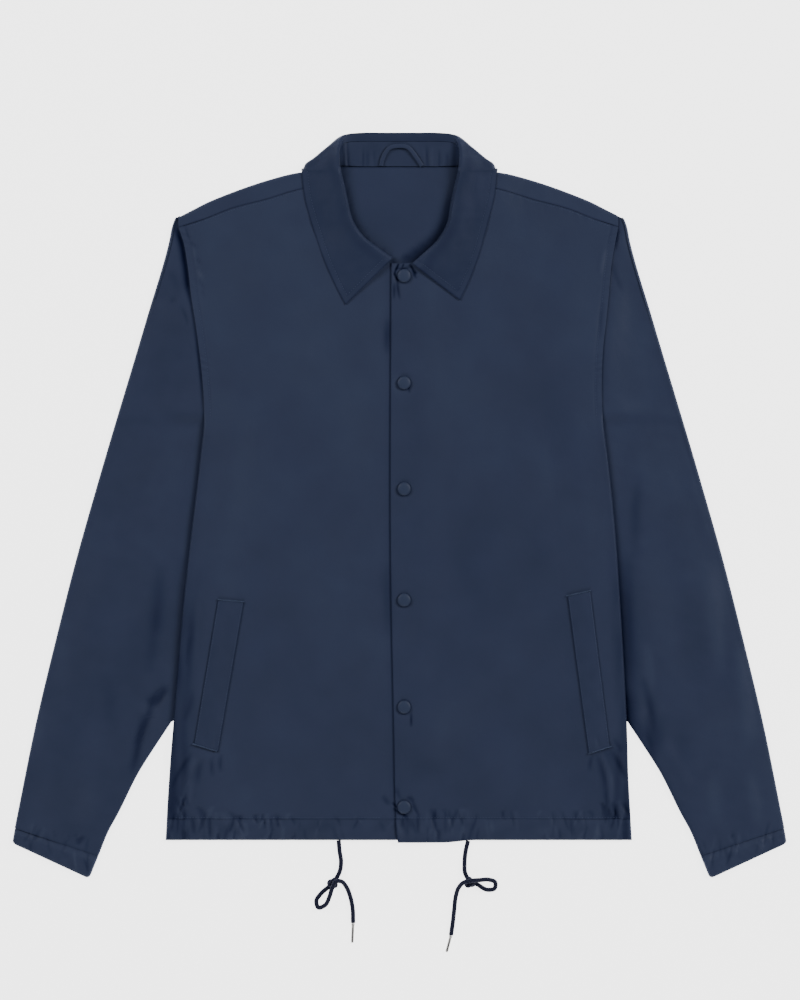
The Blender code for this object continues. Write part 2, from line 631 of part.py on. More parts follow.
def collar():
    """The turned-down collar: from the stand up to its roll and down to its free edge, over the shoulders' folds."""
    rows = []
    for side, section in collar_sections():
        roll = np.array([section.roll_x, section.roll_y])
        over = np.array([section.over_x, section.over_y])
        edge = np.array([section.edge_x, section.edge_y])
        start, start_z = stand_top(side, section)
        if 0.0 < section.wrap < 1.0:
            high = section.roll_z
            low = HANG_Z * (1 - section.wrap)
            plan = [start, roll, roll * 0.8 + over * 0.2, roll * 0.6 + over * 0.4, roll * 0.3 + over * 0.7]
            height = [start_z, high, high * 0.9 + HANG_Z * 0.1, high * 0.6 + HANG_Z * 0.4, HANG_Z + 0.0006]
            plan += [over + (edge - over) * share for share in (0.0, 0.6, 0.9, 1.0)]
            height += [HANG_Z + (low - HANG_Z) * share for share in (0.1, 0.6, 0.97, 1.0)]
        elif section.wrap:
            lead = over - roll
            lead = lead / max(np.hypot(*lead), 1e-6)
            last = (edge - over) / np.hypot(*(edge - over))
            half = min(section.roll_z, 0.0088) / 2
            plan = [start, roll, roll * 0.6 + over * 0.4 - lead * half * 0.4]
            height = [start_z, section.roll_z, section.roll_z * 0.7 + 2 * half * 0.3]
            plan += [over - lead * half * 0.5, over, over + last * half * 0.8]
            height += [2 * half * 0.97, half, 0.0003]
            plan += [over + (edge - over) * share for share in (0.35, 0.68, 1.0)]
            height += [0.0, 0.0, 0.0]
        else:
            out = (edge - roll) / np.hypot(*(edge - roll))
            low = front_height(side * edge[0], edge[1], side) + LAY + WALL + LEAF_OVER
            middle = section.roll_z
            plan = [start, roll + out * 0.0012, roll, roll + out * 0.0030]
            height = [start_z, start_z + 0.0004, (start_z + middle) / 2, middle]
            plan += [roll + (edge - roll) * share for share in (0.28, 0.46, 0.64, 0.82, 1.0)]
            height += [middle + (low - middle) * share for share in (0.35, 0.60, 0.80, 0.93, 1.0)]
        plan = np.array(plan)
        rows.append(np.column_stack([side * plan[:, 0], plan[:, 1], height]))
    outer = np.array(rows)
    return wall("collar", outer, behind(outer, -WALL), NYLON)


def collar_stand():
    """The band between the neck seam and the collar, flat at the back and folded under the leaves at the front."""
    rows = []
    for side, section in collar_sections():
        seam = np.array([section.seam_x, section.seam_y])
        if not section.wrap:
            seam[1] = max(seam[1], neckline(seam[0]) + 8 * SEAM)
        top, top_z = stand_top(side, section)
        run = top - seam
        top = seam + run * (1 - STAND_GAP / np.hypot(*run))
        low = section.seam_z + (0.0 if section.wrap else ride(side * seam[0], side))
        plan = np.array([seam + (top - seam) * share for share in (0.0, 0.5, 1.0)])
        top_z = top_z - STAND_UNDER
        height = [low, (low + top_z) / 2, top_z]
        rows.append(np.column_stack([side * plan[:, 0], plan[:, 1], height]))
    outer = np.array(rows)
    return wall("collar_stand", outer, behind(outer, -WALL), NYLON)


def hanger_loop():
    """A narrow folded strip in an arch against the inside of the stand."""
    share = np.linspace(0.0, 1.0, 9)
    angle = np.pi * share
    x = -0.0005 - 0.0185 * np.cos(angle) * (1 - 0.25 * np.sin(angle))
    y = 0.3568 + 0.0195 * np.sin(angle) ** 0.8
    z = 0.0029 + (y - 0.3560) * 0.09 + WALL + 0.0006 + 0.0012 * np.sin(angle)
    path = np.column_stack([x, y])
    run = np.gradient(path, axis=0)
    beside = np.column_stack([-run[:, 1], run[:, 0]]) / np.hypot(run[:, 0], run[:, 1])[:, None]
    width = 0.0045
    strips = [np.column_stack([path + beside * width * place, z]) for place in (0.0, 0.5, 1.0)]
    outer = np.stack(strips, axis=1)
    inner = outer - (0.0, 0.0, WALL)
    return wall("hanger_loop", outer, inner, NYLON)


def welt(side):
    """A slanted pocket welt on a front, made from the front's own height."""
    top = np.array([0.1630, -0.0996]) if side < 0 else np.array([0.1770, -0.0965])
    lean = np.array([0.0272, -0.1536]) if side < 0 else np.array([0.0222, -0.1565])
    out = np.array([0.0262, 0.0020]) if side < 0 else np.array([0.0222, 0.0050])
    along = np.linspace(0.0, 1.0, 9)[:, None]
    across = np.linspace(0.0, 1.0, 3)[None, :]
    x = side * (top[0] + lean[0] * along + out[0] * across)
    y = top[1] + lean[1] * along + out[1] * across
    z = front_height(x, y, side) + SEAM * 2
    inner = np.stack([x, y, z], axis=-1)
    name = "pocket_welt_left" if side > 0 else "pocket_welt_right"
    return wall(name, inner + (0.0, 0.0, WALL), inner, NYLON)


def snap(number, y):
    """A snap's painted cap: a shallow dome with a rounded rim, turned about its own middle."""
    sides = 16
    seat = front_height(np.array(SNAP_X), np.array(y), 1) + SEAM
    turned = np.linspace(0.0, 2 * np.pi, sides, endpoint=False)
    profile = ((0.86, 0.0), (1.0, 0.30), (0.97, 0.62), (0.62, 0.92))
    rings = [
        np.column_stack(
            [
                SNAP_X + SNAP_RADIUS * out * np.cos(turned),
                y + SNAP_RADIUS * out * np.sin(turned),
                np.full(sides, seat + SNAP_HIGH * up),
            ]
        )
        for out, up in profile
    ]
    points = np.concatenate(rings + [[[SNAP_X, y, seat], [SNAP_X, y, seat + SNAP_HIGH]]])
    index = np.arange(sides * len(profile)).reshape(len(profile), sides)
    index = np.concatenate([index, index[:, :1]], axis=1)
    faces = [list(face) for face in grid_faces(index)]
    low, high = len(points) - 2, len(points) - 1
    faces += [[low, index[0, i + 1], index[0, i]] for i in range(sides)]
    faces += [[high, index[-1, i], index[-1, i + 1]] for i in range(sides)]
    return mesh_object(f"snap_{number}", points, faces, CAP_PAINT)


def smooth_route(route):
    """Evenly spaced points on a smooth curve through a route's own points."""
    marks = np.array([[row.x, row.y, row.z + CORD_THICK / 2] for row in route])
    along = np.concatenate([[0.0], np.cumsum(np.linalg.norm(np.diff(marks, axis=0), axis=1))])
    at = np.linspace(0.0, along[-1], int(along[-1] / CORD_POINT_STEP) + 1)
    points = np.stack([curve_at(along, marks[:, axis], at) for axis in range(3)], axis=1)
    points[:, 2] = np.maximum(points[:, 2], CORD_THICK / 2)
    return points


def drawcord(name, route):
    """A round cord along its route, lying on the surface and passing once over itself."""
    points = smooth_route(route)
    curve = bpy.data.curves.new(name, "CURVE")
    curve.dimensions = "3D"
    curve.bevel_depth = CORD_THICK / 2
    curve.bevel_resolution = 2
    curve.use_fill_caps = True
    curve.resolution_u = 1
    spline = curve.splines.new("POLY")
    spline.points.add(len(points) - 1)
    spline.points.foreach_set("co", np.column_stack([points, np.ones(len(points))]).ravel())
    curve.materials.append(material(name, CORD_YARN))
    made = bpy.data.objects.new(name, curve)
    bpy.context.scene.collection.objects.link(made)
    return made


def cord_tip(name, route, end):
    """A rounded metal rod that carries on from the cord's end."""
    sides = 10
    last = smooth_route(route)[-1]
    run = np.array([end[0], end[1], last[2]]) - last
    length = np.linalg.norm(run)
    run = run / length
    beside = np.array([-run[1], run[0], 0.0])
    turned = np.linspace(0.0, 2 * np.pi, sides, endpoint=False)
    around = np.outer(np.cos(turned), beside) + np.outer(np.sin(turned), (0.0, 0.0, 1.0))
    profile = ((0.0005, 0.9), (0.0012, 1.0), (length - 0.0010, 1.0), (length, 0.6))
    rings = [last + run * along + around * TIP_RADIUS * out for along, out in profile]
    index = np.arange(sides * len(profile)).reshape(len(profile), sides)
    index = np.concatenate([index, index[:, :1]], axis=1)
    faces = [list(face) for face in grid_faces(index)]
    faces += [list(index[0, :-1][::-1]), list(index[-1, :-1])]
    return mesh_object(name, np.concatenate(rings), faces, TIP_METAL)


def build():
    for old in list(bpy.data.objects):
        bpy.data.objects.remove(old)
    back()
    casing_back()
    for side in (-1, 1):
        front(side)
        casing_front(side)
        sleeve(side)
        cuff(side)
        welt(side)
    collar()
    collar_stand()
    hanger_loop()
    for number, y in enumerate(SNAP_YS, start=1):
        snap(number, y)
    drawcord("drawcord_right", CORD_RIGHT)
    drawcord("drawcord_left", CORD_LEFT)
    cord_tip("cord_tip_right", CORD_RIGHT, TIP_RIGHT_END)
    cord_tip("cord_tip_left", CORD_LEFT, TIP_LEFT_END)


build()
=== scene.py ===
"""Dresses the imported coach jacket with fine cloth, stitching, snap caps and cords, laid flat on a pale floor.

Laid out as an add-on: sizes and colours are properties, each piece or group of like pieces is an operator,
and main() runs them in order. +X is the wearer's left, +Y runs from the hem to the collar, +Z is up.
"""
from collections import namedtuple

import bpy
import numpy as np
from bpy.props import FloatProperty, FloatVectorProperty, PointerProperty
from bpy.types import Operator, Panel, PropertyGroup
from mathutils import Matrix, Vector


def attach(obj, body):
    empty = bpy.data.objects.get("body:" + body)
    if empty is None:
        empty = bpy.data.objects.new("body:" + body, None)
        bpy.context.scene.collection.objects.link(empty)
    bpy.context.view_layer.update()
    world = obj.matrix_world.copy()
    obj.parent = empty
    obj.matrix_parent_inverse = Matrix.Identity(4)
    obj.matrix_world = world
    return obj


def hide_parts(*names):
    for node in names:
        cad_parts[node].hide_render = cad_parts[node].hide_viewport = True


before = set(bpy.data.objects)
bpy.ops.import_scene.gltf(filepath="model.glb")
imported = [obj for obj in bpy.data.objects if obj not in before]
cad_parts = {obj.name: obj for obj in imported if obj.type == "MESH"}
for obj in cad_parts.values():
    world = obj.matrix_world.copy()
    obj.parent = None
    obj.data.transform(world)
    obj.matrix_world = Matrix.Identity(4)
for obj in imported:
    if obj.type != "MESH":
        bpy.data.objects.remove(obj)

bl_info = {
    "name": "Coach Jacket",
    "version": (1, 0, 0),
    "blender": (4, 5, 0),
    "location": "View3D > Sidebar > Jacket",
    "description": "Builds a nylon coach jacket, laid flat, over its packed frame",
    "category": "Object",
}

BODY = "root"


def tenths(kind, rows):
    """A table's rows, given in tenths of a millimetre, in metres."""
    return tuple(kind(*(value / 10000 for value in row)) for row in rows)


# Cloth and layers, as in the frame
WALL = 0.0012
SEAM = 0.0003
LAY = 0.0005
BODY_THICK = 0.0054
SLEEVE_THICK = 0.0056
TUCK_THICK = 0.0031
TUCK_LIFT = 0.0037
TUCK_DEPTH = 0.018
COLLAR_LIFT = 0.0017
HEM_Y = -0.3523
CASING_Y = -0.3302
UNDERARM_Y = 0.0966
SLEEVE_CLEAR_Y = -0.2260
SLEEVE_TOP_Y = 0.3040
ARMHOLE_TOP_Y = 0.2919
NECK_HALF = 0.080
NECK_FRONT_Y = 0.2535
NECK_POINT_Y = 0.3370
NECK_ROUND = 2.2
BACK_NECK_Y = 0.3552
CLOSING_X = -0.0089
Closing = namedtuple("Closing", "y x")
CLOSING = (
    Closing(0.2700, -0.0089), Closing(-0.1000, -0.0089), Closing(-0.1840, -0.0072), Closing(-0.2470, -0.0059),
    Closing(-0.3100, -0.0047), Closing(-0.3410, -0.0030), Closing(-0.3523, -0.0018),
)
UNDERLAP_X = 0.0180
DEEPEST = 0.0008
LINE_HALF = 0.0008

# Side of the body from the hem to the shoulder tip: the height, and how far out each side lies
Side = namedtuple("Side", "y right left")
SIDES = (
    Side(HEM_Y, 0.2460, 0.2443),
    Side(-0.2835, 0.2420, 0.2405),
    Side(-0.2247, 0.2370, 0.2385),
    Side(-0.0998, 0.2266, 0.2315),
    Side(-0.0368, 0.2195, 0.2273),
    Side(0.0483, 0.2095, 0.2188),
    Side(UNDERARM_Y, 0.2050, 0.2130),
    Side(0.1323, 0.2071, 0.2124),
    Side(0.1674, 0.2111, 0.2141),
    Side(0.1911, 0.2143, 0.2168),
    Side(0.2188, 0.2187, 0.2197),
    Side(0.2541, 0.2230, 0.2230),
    Side(0.2751, 0.2267, 0.2265),
    Side(ARMHOLE_TOP_Y, 0.2322, 0.2298),
)

# Shoulder, from the neck outwards: the fold that is its outline, and the seam that lies forward of it
Shoulder = namedtuple("Shoulder", "x fold seam")
SHOULDERS = (
    Shoulder(0.0600, 0.3600, 0.3420),
    Shoulder(NECK_HALF, 0.3550, NECK_POINT_Y),
    Shoulder(0.0980, 0.3505, 0.3332),
    Shoulder(0.1120, 0.3483, 0.3298),
    Shoulder(0.1391, 0.3413, 0.3215),
    Shoulder(0.1769, 0.3283, 0.3114),
    Shoulder(0.2063, 0.3161, 0.3000),
    Shoulder(0.2310, 0.3030, 0.2922),
    Shoulder(0.2380, 0.2985, 0.2905),
)

# Sleeve outline below the shoulder tip, as distances out from the middle of the body
Edge = namedtuple("Edge", "y x")
SLEEVE_OUTER = (
    Edge(0.3005, 0.2362),
    Edge(0.2950, 0.2384),
    Edge(0.2783, 0.2420),
    Edge(0.1943, 0.2664),
    Edge(0.0263, 0.3164),
    Edge(-0.0578, 0.3402),
    Edge(-0.1418, 0.3615),
    Edge(-0.2205, 0.3804),
    Edge(-0.3392, 0.4046),
)
SLEEVE_INNER = (
    Edge(SLEEVE_CLEAR_Y, 0.2385),
    Edge(-0.2520, 0.2557),
    Edge(-0.2772, 0.2718),
    Edge(-0.3276, 0.2975),
    Edge(-0.3402, 0.3045),
    Edge(-0.3686, 0.3164),
)
SLEEVE_END_INNER_Y = -0.3686
SLEEVE_END_OUTER_Y = -0.3392
CUFF_TOP_OUTER = (0.4044, -0.3397)
CUFF_TOP_INNER = (0.3166, -0.3693)
CUFF_END_OUTER = (0.4070, -0.3551)
CUFF_END_INNER = (0.3260, -0.3925)
CUFF_THICK = 0.0066

# Main folds, also in the frame: straight ridges and troughs with soft ends, in tenths of a millimetre
Fold = namedtuple("Fold", "from_x from_y to_x to_y width height")
BODY_FOLDS = tenths(Fold, (
    (-2360, -3180, -1900, -2620, 160, 9), (-2150, -3250, -1650, -2900, 140, -7),
    (-1700, -3250, -1400, -3000, 130, 6), (2280, -3180, 1960, -2620, 160, 8),
    (2050, -3250, 1720, -2800, 140, -6), (100, -3180, 480, -2960, 130, 6),
    (-140, 1500, -180, 2350, 140, -6), (600, -2500, 1200, 200, 400, 8), (-1200, -600, -700, 1900, 450, 8),
))
SLEEVE_FOLDS = tenths(Fold, (
    (2380, -800, 2620, -2050, 200, -12), (2830, -2000, 3050, -2750, 200, -10),
    (3000, 0, 3450, -1900, 300, 9), (2620, -2450, 2920, -2950, 140, 9), (2480, 2150, 2620, 1200, 180, -10),
))

# Fine creases, in tenths of a millimetre: each line bows sideways by its bow, and tapers to nothing at its ends
Crease = namedtuple("Crease", "from_x from_y to_x to_y bow width height")
FRONT_CREASES = tenths(Crease, (
    # below the right welt, towards the hem's corner
    (-2168, -2593, -2399, -2992, 20, 22, -6), (-2137, -2646, -2263, -3097, 30, 28, 8),
    (-1969, -2636, -1958, -2866, 10, 22, -7), (-1874, -2614, -1874, -2814, 10, 22, -8),
    (-2063, -2656, -2116, -2940, 20, 30, -6), (-2189, -2888, -2305, -3286, -20, 26, 9),
    (-2242, -2992, -2357, -3328, -10, 22, -8), (-2000, -2383, -2063, -2510, 10, 24, -7),
    (-1916, -2415, -1948, -2562, 0, 20, -6), (-2179, -1942, -2263, -2278, -20, 34, -5),
    (-2200, -1375, -2231, -1711, 10, 26, -4), (-2326, -3255, -2399, -3496, 10, 18, -6),
    (-2200, -2866, -2368, -3433, 20, 12, 9), (-2242, -3097, -2305, -3475, 10, 12, 9),
    (-2210, -3097, -2326, -3328, 10, 22, 7), (-1801, -3223, -1612, -3328, 10, 26, -7),
    (-2137, -3160, -2032, -3307, -10, 26, -7), (-1948, -3160, -2042, -3328, 10, 24, 6),
    # below the left welt
    (2063, -2593, 2168, -3097, -30, 36, -8), (2105, -2572, 2231, -3160, -30, 30, 8),
    (2221, -2572, 2378, -2888, -10, 30, -9), (2021, -2614, 2000, -2803, 10, 22, -7),
    (2242, -2446, 2336, -2593, 0, 24, -6), (2168, -2992, 2242, -3307, 20, 24, -8),
    (2294, -3097, 2378, -3328, 10, 24, 8), (2242, -3097, 2315, -3370, 10, 20, -7),
    (2063, -2415, 2095, -2551, 0, 20, -6),
    # round the lowest snap
    (-79, -3118, 16, -3223, 5, 14, -9), (-68, -3181, 89, -3276, 5, 14, -9),
    (-68, -3150, 47, -3244, 5, 12, 8), (131, -3097, 215, -3286, 8, 20, -10),
    (68, -3066, 152, -3118, -10, 22, -9), (-37, -2950, 16, -3097, 10, 22, -6),
    (-184, -3045, -100, -3160, 5, 30, -7), (320, -3181, 425, -3328, 10, 24, -7),
    (457, -3181, 530, -3307, 6, 20, -6),
    # under the first snap and the collar
    (-58, 2446, -5, 2341, 5, 12, -9), (-26, 2383, 5, 2152, 6, 16, -6), (-58, 2341, -58, 2152, 0, 16, -5),
    (121, 2467, 194, 2425, 0, 12, -7), (131, 2446, 184, 2373, 0, 12, -6), (5, 2551, -37, 2457, 5, 11, -9),
    (-16, 2520, -58, 2404, 5, 11, -8), (47, 2541, 26, 2488, 0, 10, -8), (100, 2530, 142, 2467, -5, 11, -9),
    (121, 2510, 173, 2404, -5, 11, -7), (-37, 2488, 121, 2499, 8, 9, -7),
    # beside the closing edge
    (-121, 1963, -131, 1564, 10, 45, -5), (-142, -577, -131, -1417, 0, 60, -4),
    (121, -2173, 121, -2341, 0, 14, -6), (89, 1333, 110, 1165, 6, 14, -5),
    # beside the armholes
    (-2179, 2719, -2126, 2488, -10, 18, 5), (-2126, 2551, -2074, 2236, -10, 18, 5),
    (-2095, 2467, -2042, 2152, 10, 18, -3), (-2137, 2656, -2084, 2404, 10, 18, -3),
    (-2158, 2614, -2063, 2530, 5, 12, -2), (-2137, 2467, -2053, 2394, 5, 12, 3),
    (-2116, 2383, -2042, 2278, 5, 12, -2), (-2200, 2782, -2116, 2698, 5, 12, -2),
    (-2242, 2929, -2200, 2782, 5, 14, -2), (2168, 2698, 2116, 2404, 10, 20, 6),
    (2137, 2152, 2105, 1732, 10, 22, -5),
))
FRONT_HOLLOWS = tenths(Crease, (
    (740, 0, 1055, -1417, 100, 260, -9), (1528, 52, 1265, -997, -60, 220, -7),
    (530, -2047, 341, -2782, 30, 150, 9), (-1045, 2152, -835, 892, 80, 300, 6),
    (-1675, 892, -1570, -577, 40, 260, 5),
))
SLEEVE_CREASES_LEFT = tenths(Crease, (
    (2399, -473, 2462, -2110, 10, 60, -7), (2578, -1417, 2630, -2089, -20, 50, 5),
    (2567, -1795, 2683, -2551, -20, 45, -8), (2588, -2173, 2683, -2782, 10, 40, -5),
    (2735, -2215, 2651, -2677, -40, 60, -4), (3050, -2047, 2987, -2888, 40, 120, -4),
    (3239, -577, 3344, -1837, -30, 100, 8), (3554, -1417, 3680, -2572, -30, 80, 6),
    (3407, -997, 3554, -2257, 30, 80, -4), (2525, 367, 2483, -577, 30, 60, -5),
    (2231, 2551, 2336, 2236, 10, 30, -4), (2305, 2929, 2273, 2656, 0, 20, -8),
    (3281, -2782, 3365, -3412, 20, 80, 5), (3680, -2782, 3785, -3412, 10, 60, 5),
))
# The right sleeve's creases are given as they would lie on the left one
SLEEVE_CREASES_RIGHT = tenths(Crease, (
    (2441, -1900, 2651, -2110, 10, 50, -12), (2483, -1942, 2567, -2131, -10, 40, -8),
    (2609, -2026, 2798, -2530, 30, 44, -12), (2704, -2173, 2819, -2845, 20, 40, -11),
    (2651, -2047, 2819, -2520, 30, 40, 6), (2525, -577, 2588, -1417, 20, 70, -6),
    (2557, -997, 2651, -1795, 20, 60, -4), (2336, 2173, 2420, 2131, 0, 30, -3),
    (2305, 2100, 2221, 1879, 10, 18, -4), (2410, 2467, 2315, 2152, 20, 50, -3),
    (3239, -2888, 3407, -3360, 20, 120, 7), (3754, -2047, 3827, -2677, -10, 70, 6),
    (3082, -1732, 3050, -2467, 20, 80, -4), (3554, -997, 3628, -1942, 20, 90, 4),
))

COLLAR_CREASES = tenths(Crease, (
    (-499, 2551, -289, 2677, 10, 30, -3), (-814, 3202, -730, 2824, 20, 60, -3),
    (740, 3412, 824, 3045, 20, 60, -3),
))

StandCrease = namedtuple("StandCrease", "x lean width reach height")
STAND_CREASES = (
    StandCrease(-0.0540, -0.0010, 0.0011, 1.6, -0.0009),
    StandCrease(-0.0570, 0.0, 0.0016, 1.6, 0.0006),
    StandCrease(-0.0385, 0.0006, 0.0014, 0.9, -0.0006),
    StandCrease(-0.0335, 0.0, 0.0014, 0.8, -0.0006),
    StandCrease(-0.0255, -0.0010, 0.0012, 0.7, -0.0005),
    StandCrease(0.0295, -0.0012, 0.0014, 0.9, -0.0008),
    StandCrease(0.0330, 0.0010, 0.0014, 0.9, 0.0006),
    StandCrease(0.0415, 0.0006, 0.0016, 0.8, -0.0006),
    StandCrease(0.0500, 0.0, 0.0016, 0.6, -0.0004),
)

# Collar sections from the right front edge to the middle of the back, as in the frame: in tenths of a millimetre,
# and how far the section wraps behind the neck in ten-thousandths
Section = namedtuple("Section", "seam_x seam_y seam_z roll_x roll_y roll_z over_x over_y edge_x edge_y wrap")
COLLAR_RIGHT = tenths(Section, (
    (105, 2535, 59, 68, 2592, 112, 300, 2335, 565, 2104, 0),
    (300, 2560, 59, 225, 2703, 120, 440, 2510, 680, 2320, 0),
    (515, 2690, 59, 370, 2815, 126, 570, 2670, 790, 2570, 0),
    (650, 2865, 59, 480, 2970, 132, 680, 2830, 870, 2800, 0),
    (728, 3065, 59, 530, 3140, 136, 740, 3050, 945, 3030, 0),
    (768, 3260, 59, 562, 3297, 140, 780, 3240, 995, 3235, 0),
    (752, 3420, 57, 601, 3455, 144, 820, 3440, 1024, 3475, 0),
    (728, 3465, 52, 612, 3510, 145, 985, 3495, 1024, 3510, 4000),
    (704, 3502, 46, 622, 3565, 144, 1012, 3538, 1012, 3538, 9800),
    (682, 3532, 40, 626, 3620, 142, 985, 3590, 945, 3420, 10000),
    (655, 3556, 34, 628, 3690, 136, 905, 3645, 860, 3360, 10000),
    (610, 3566, 29, 612, 3795, 116, 760, 3765, 680, 3290, 10000),
    (550, 3566, 29, 560, 3865, 82, 600, 3885, 500, 3240, 10000),
    (390, 3560, 29, 385, 3880, 64, 390, 3902, 330, 3210, 10000),
    (195, 3560, 29, 195, 3880, 62, 195, 3902, 165, 3200, 10000),
))
COLLAR_LEFT_POINT = (0.0634, 0.2151)
COLLAR_LEFT_ROLL = (0.0131, 0.2535)
FRONT_STAND_Z = 0.0077
STAND_SHORT = 0.0060
STAND_HIGH = 0.0100
STAND_GAP = 0.0003
STAND_UNDER = 0.0004
HANG_Z = 0.0098
LEAF_REST = 0.0012
ROLL_ROUND = 0.0030
Fall = namedtuple("Fall", "share fall")
LEAF_FALL = (
    Fall(0.0, 0.0), Fall(0.28, 0.35), Fall(0.46, 0.60), Fall(0.64, 0.80), Fall(0.82, 0.93), Fall(1.0, 1.0),
)

# Drawcords in tenths of a millimetre: the middle of each cord in plan, from the hem to its tip, and how far it is
# raised over a crossing
Route = namedtuple("Route", "x y z")
CORD_RIGHT = tenths(Route, (
    (-640, -3527, 0), (-630, -3640, 0), (-615, -3740, 0), (-625, -3840, 0), (-665, -3925, 0),
    (-735, -4005, 0), (-825, -4085, 0), (-875, -4165, 0), (-855, -4230, 6), (-785, -4205, 30),
    (-735, -4110, 62), (-705, -4015, 80), (-665, -3945, 82), (-610, -3950, 60), (-560, -4010, 22),
    (-520, -4110, 0), (-493, -4240, 0), (-488, -4392, 0),
))
CORD_LEFT = tenths(Route, (
    (720, -3531, 0), (695, -3640, 0), (683, -3770, 0), (690, -3870, 0), (735, -3945, 0), (820, -3990, 0),
    (925, -4045, 0), (1000, -4030, 0), (1005, -3965, 8), (940, -3935, 30), (840, -3935, 62),
    (745, -3940, 82), (670, -3960, 80), (620, -4020, 40), (590, -4120, 6), (575, -4250, 0), (560, -4390, 0),
    (541, -4522, 0),
))
TIP_RIGHT_END = (-0.0497, -0.4604)
TIP_LEFT_END = (0.0494, -0.4701)
KNOT_RIGHT = (-0.0697, -0.3970)
KNOT_LEFT = (0.0735, -0.3968)

SNAP_X = 0.0048
SNAP_YS = (0.2405, 0.1281, 0.0168, -0.0998, -0.2121, -0.3171)
SNAP_PROFILE = (
    (0.86, 0.00), (0.95, 0.10), (1.00, 0.30), (1.00, 0.48), (0.97, 0.62), (0.90, 0.75),
    (0.78, 0.86), (0.62, 0.93), (0.40, 0.98), (0.18, 1.00), (0.03, 1.00),
)

# Where cloth is gathered into short creases: between two places across and two heights, how many, and the
# strongest. Heights of the cuffs' spans are above the cuff seam
Span = namedtuple("Span", "from_x to_x low high count strongest")
CUFF_SPANS = (
    Span(0.318, 0.345, -0.014, 0.016, 8, 0.0008),
    Span(0.345, 0.402, -0.013, 0.013, 13, 0.0006),
)
HEM_SPANS_RIGHT = (
    Span(-0.244, -0.180, -0.352, -0.322, 22, 0.0011),
    Span(-0.180, -0.115, -0.352, -0.324, 26, 0.0012),
    Span(-0.244, -0.205, -0.332, -0.305, 5, 0.0009),
    Span(-0.115, -0.060, -0.350, -0.326, 8, 0.0006),
    Span(-0.060, -0.012, -0.346, -0.326, 5, 0.0006),
)
HEM_SPANS_LEFT = (
    Span(0.000, 0.028, -0.346, -0.322, 10, 0.0010),
    Span(0.028, 0.075, -0.352, -0.318, 18, 0.0010),
    Span(0.075, 0.150, -0.350, -0.320, 11, 0.0006),
    Span(0.150, 0.215, -0.352, -0.320, 15, 0.0008),
    Span(0.215, 0.243, -0.352, -0.312, 14, 0.0011),
)

# Pocket welts: the corners in plan, round from the upper outer one, and the bar tacks at their ends
WELT_RIGHT = ((-0.1632, -0.1016), (-0.1904, -0.0985), (-0.2157, -0.2507), (-0.1899, -0.2585))
WELT_LEFT = ((0.1760, -0.0954), (0.2003, -0.0892), (0.2207, -0.2529), (0.1981, -0.2606))
WELT_HIGH = 0.0009
TACKS_RIGHT = (((-0.1906, -0.0992), (-0.1627, -0.1018)), ((-0.2168, -0.2504), (-0.1911, -0.2583)))
TACKS_LEFT = (((0.1753, -0.0955), (0.2005, -0.0897)), ((0.1984, -0.2606), (0.2221, -0.2530)))
WELT_LIFT = 0.0003
TACK_LIFT = 0.0001
TACK_STITCH = (0.00075, 0.0013, 0.0008)

# Knots and metal tips of the drawcords
KNOT_SIZE = 0.0046
KNOT_RISE = 0.0020
KNOT_MIDDLE_Z = 0.0042
TipRing = namedtuple("TipRing", "share radius")
TIP_PROFILE = (
    TipRing(0.0, 0.0017), TipRing(0.015, 0.0019), TipRing(0.05, 0.0020), TipRing(0.09, 0.0019),
    TipRing(0.12, 0.00165), TipRing(0.50, 0.0016), TipRing(0.90, 0.0016), TipRing(0.95, 0.00155),
    TipRing(0.985, 0.0012), TipRing(1.0, 0.0007),
)

# Painted shade in the troughs of creases and painted highlight on their ridges: how dark the troughs look, and how high
# a crease has to be for its full tone
CREASE_SHADE = 0.42
NARROW_SHADE = 0.48
NARROW_CREASE = 0.0017
GATHER_SHADE = 0.35
SLEEVE_CREASE_SHADE = 0.50
HOLLOW_SHADE = 80.0
FULL_CREASE = 0.0009
FULL_GATHER = 0.0008
# Tone, most of it painted shade, turns the cloth bluer as it darkens: the power of the tone in red, green, blue and
# alpha
TONE_POWERS = (1.15, 1.0, 0.68, 0.0)
DARKEST_TONE = 0.05
GLOSS = 0.25

# Stitched lines, edges and loop
ARMHOLE_STITCH = 0.0063
ARMHOLE_LAP = 0.0030
EDGE_STITCH = 0.0063
CUFF_WALL = 0.0012
CUFF_START = 0.0044
LIP = 0.0011
HEM_ROUND = 0.0022
SNAP_DIMPLE = 0.00045
SNAP_SHADE = 0.40
LOOP_WIDE = 0.0042
LOOP_MARKS = (
    (-0.0192, 0.3562), (-0.0182, 0.3622), (-0.0148, 0.3700), (-0.0100, 0.3750), (-0.0020, 0.3768),
    (0.0060, 0.3764), (0.0112, 0.3735), (0.0168, 0.3665), (0.0215, 0.3595), (0.0236, 0.3562),
)
SHARP_ANGLE = np.radians(50.0)

# How finely the pieces are cut, and the places where a front's rows and columns lie closer together
TURN_STEPS = 7
LIP_STEPS = 6
FRONT_ROWS = 290
FRONT_COLUMNS = 132
Closer = namedtuple("Closer", "marks half times")
CLOSER_ROWS = Closer((-0.3171, -0.2121, -0.0998, 0.0168, 0.1447, 0.2790), 0.010, 2.4)
CLOSER_COLUMNS = {-1: Closer((0.0125,), 0.014, 2.8), 1: Closer((SNAP_X,), 0.014, 2.8)}
BACK_ROWS = 130
BACK_HALF_COLUMNS = 60
SHOULDER_ROWS = 25
CASING_ROWS = 16
CASING_COLUMNS = 190
CASING_BACK_ROWS = 8
CASING_BACK_COLUMNS = 40
ARMHOLE_ROWS = 62
SLEEVE_ROWS = 150
SLEEVE_COLUMNS = 52
SLEEVE_FOLD_COLUMNS = 13
CUFF_ROWS = 20
CUFF_COLUMNS = 130
CUFF_UNDER_COLUMNS = 30
CUFF_TURN_COLUMNS = 10
COLLAR_ROWS = 340
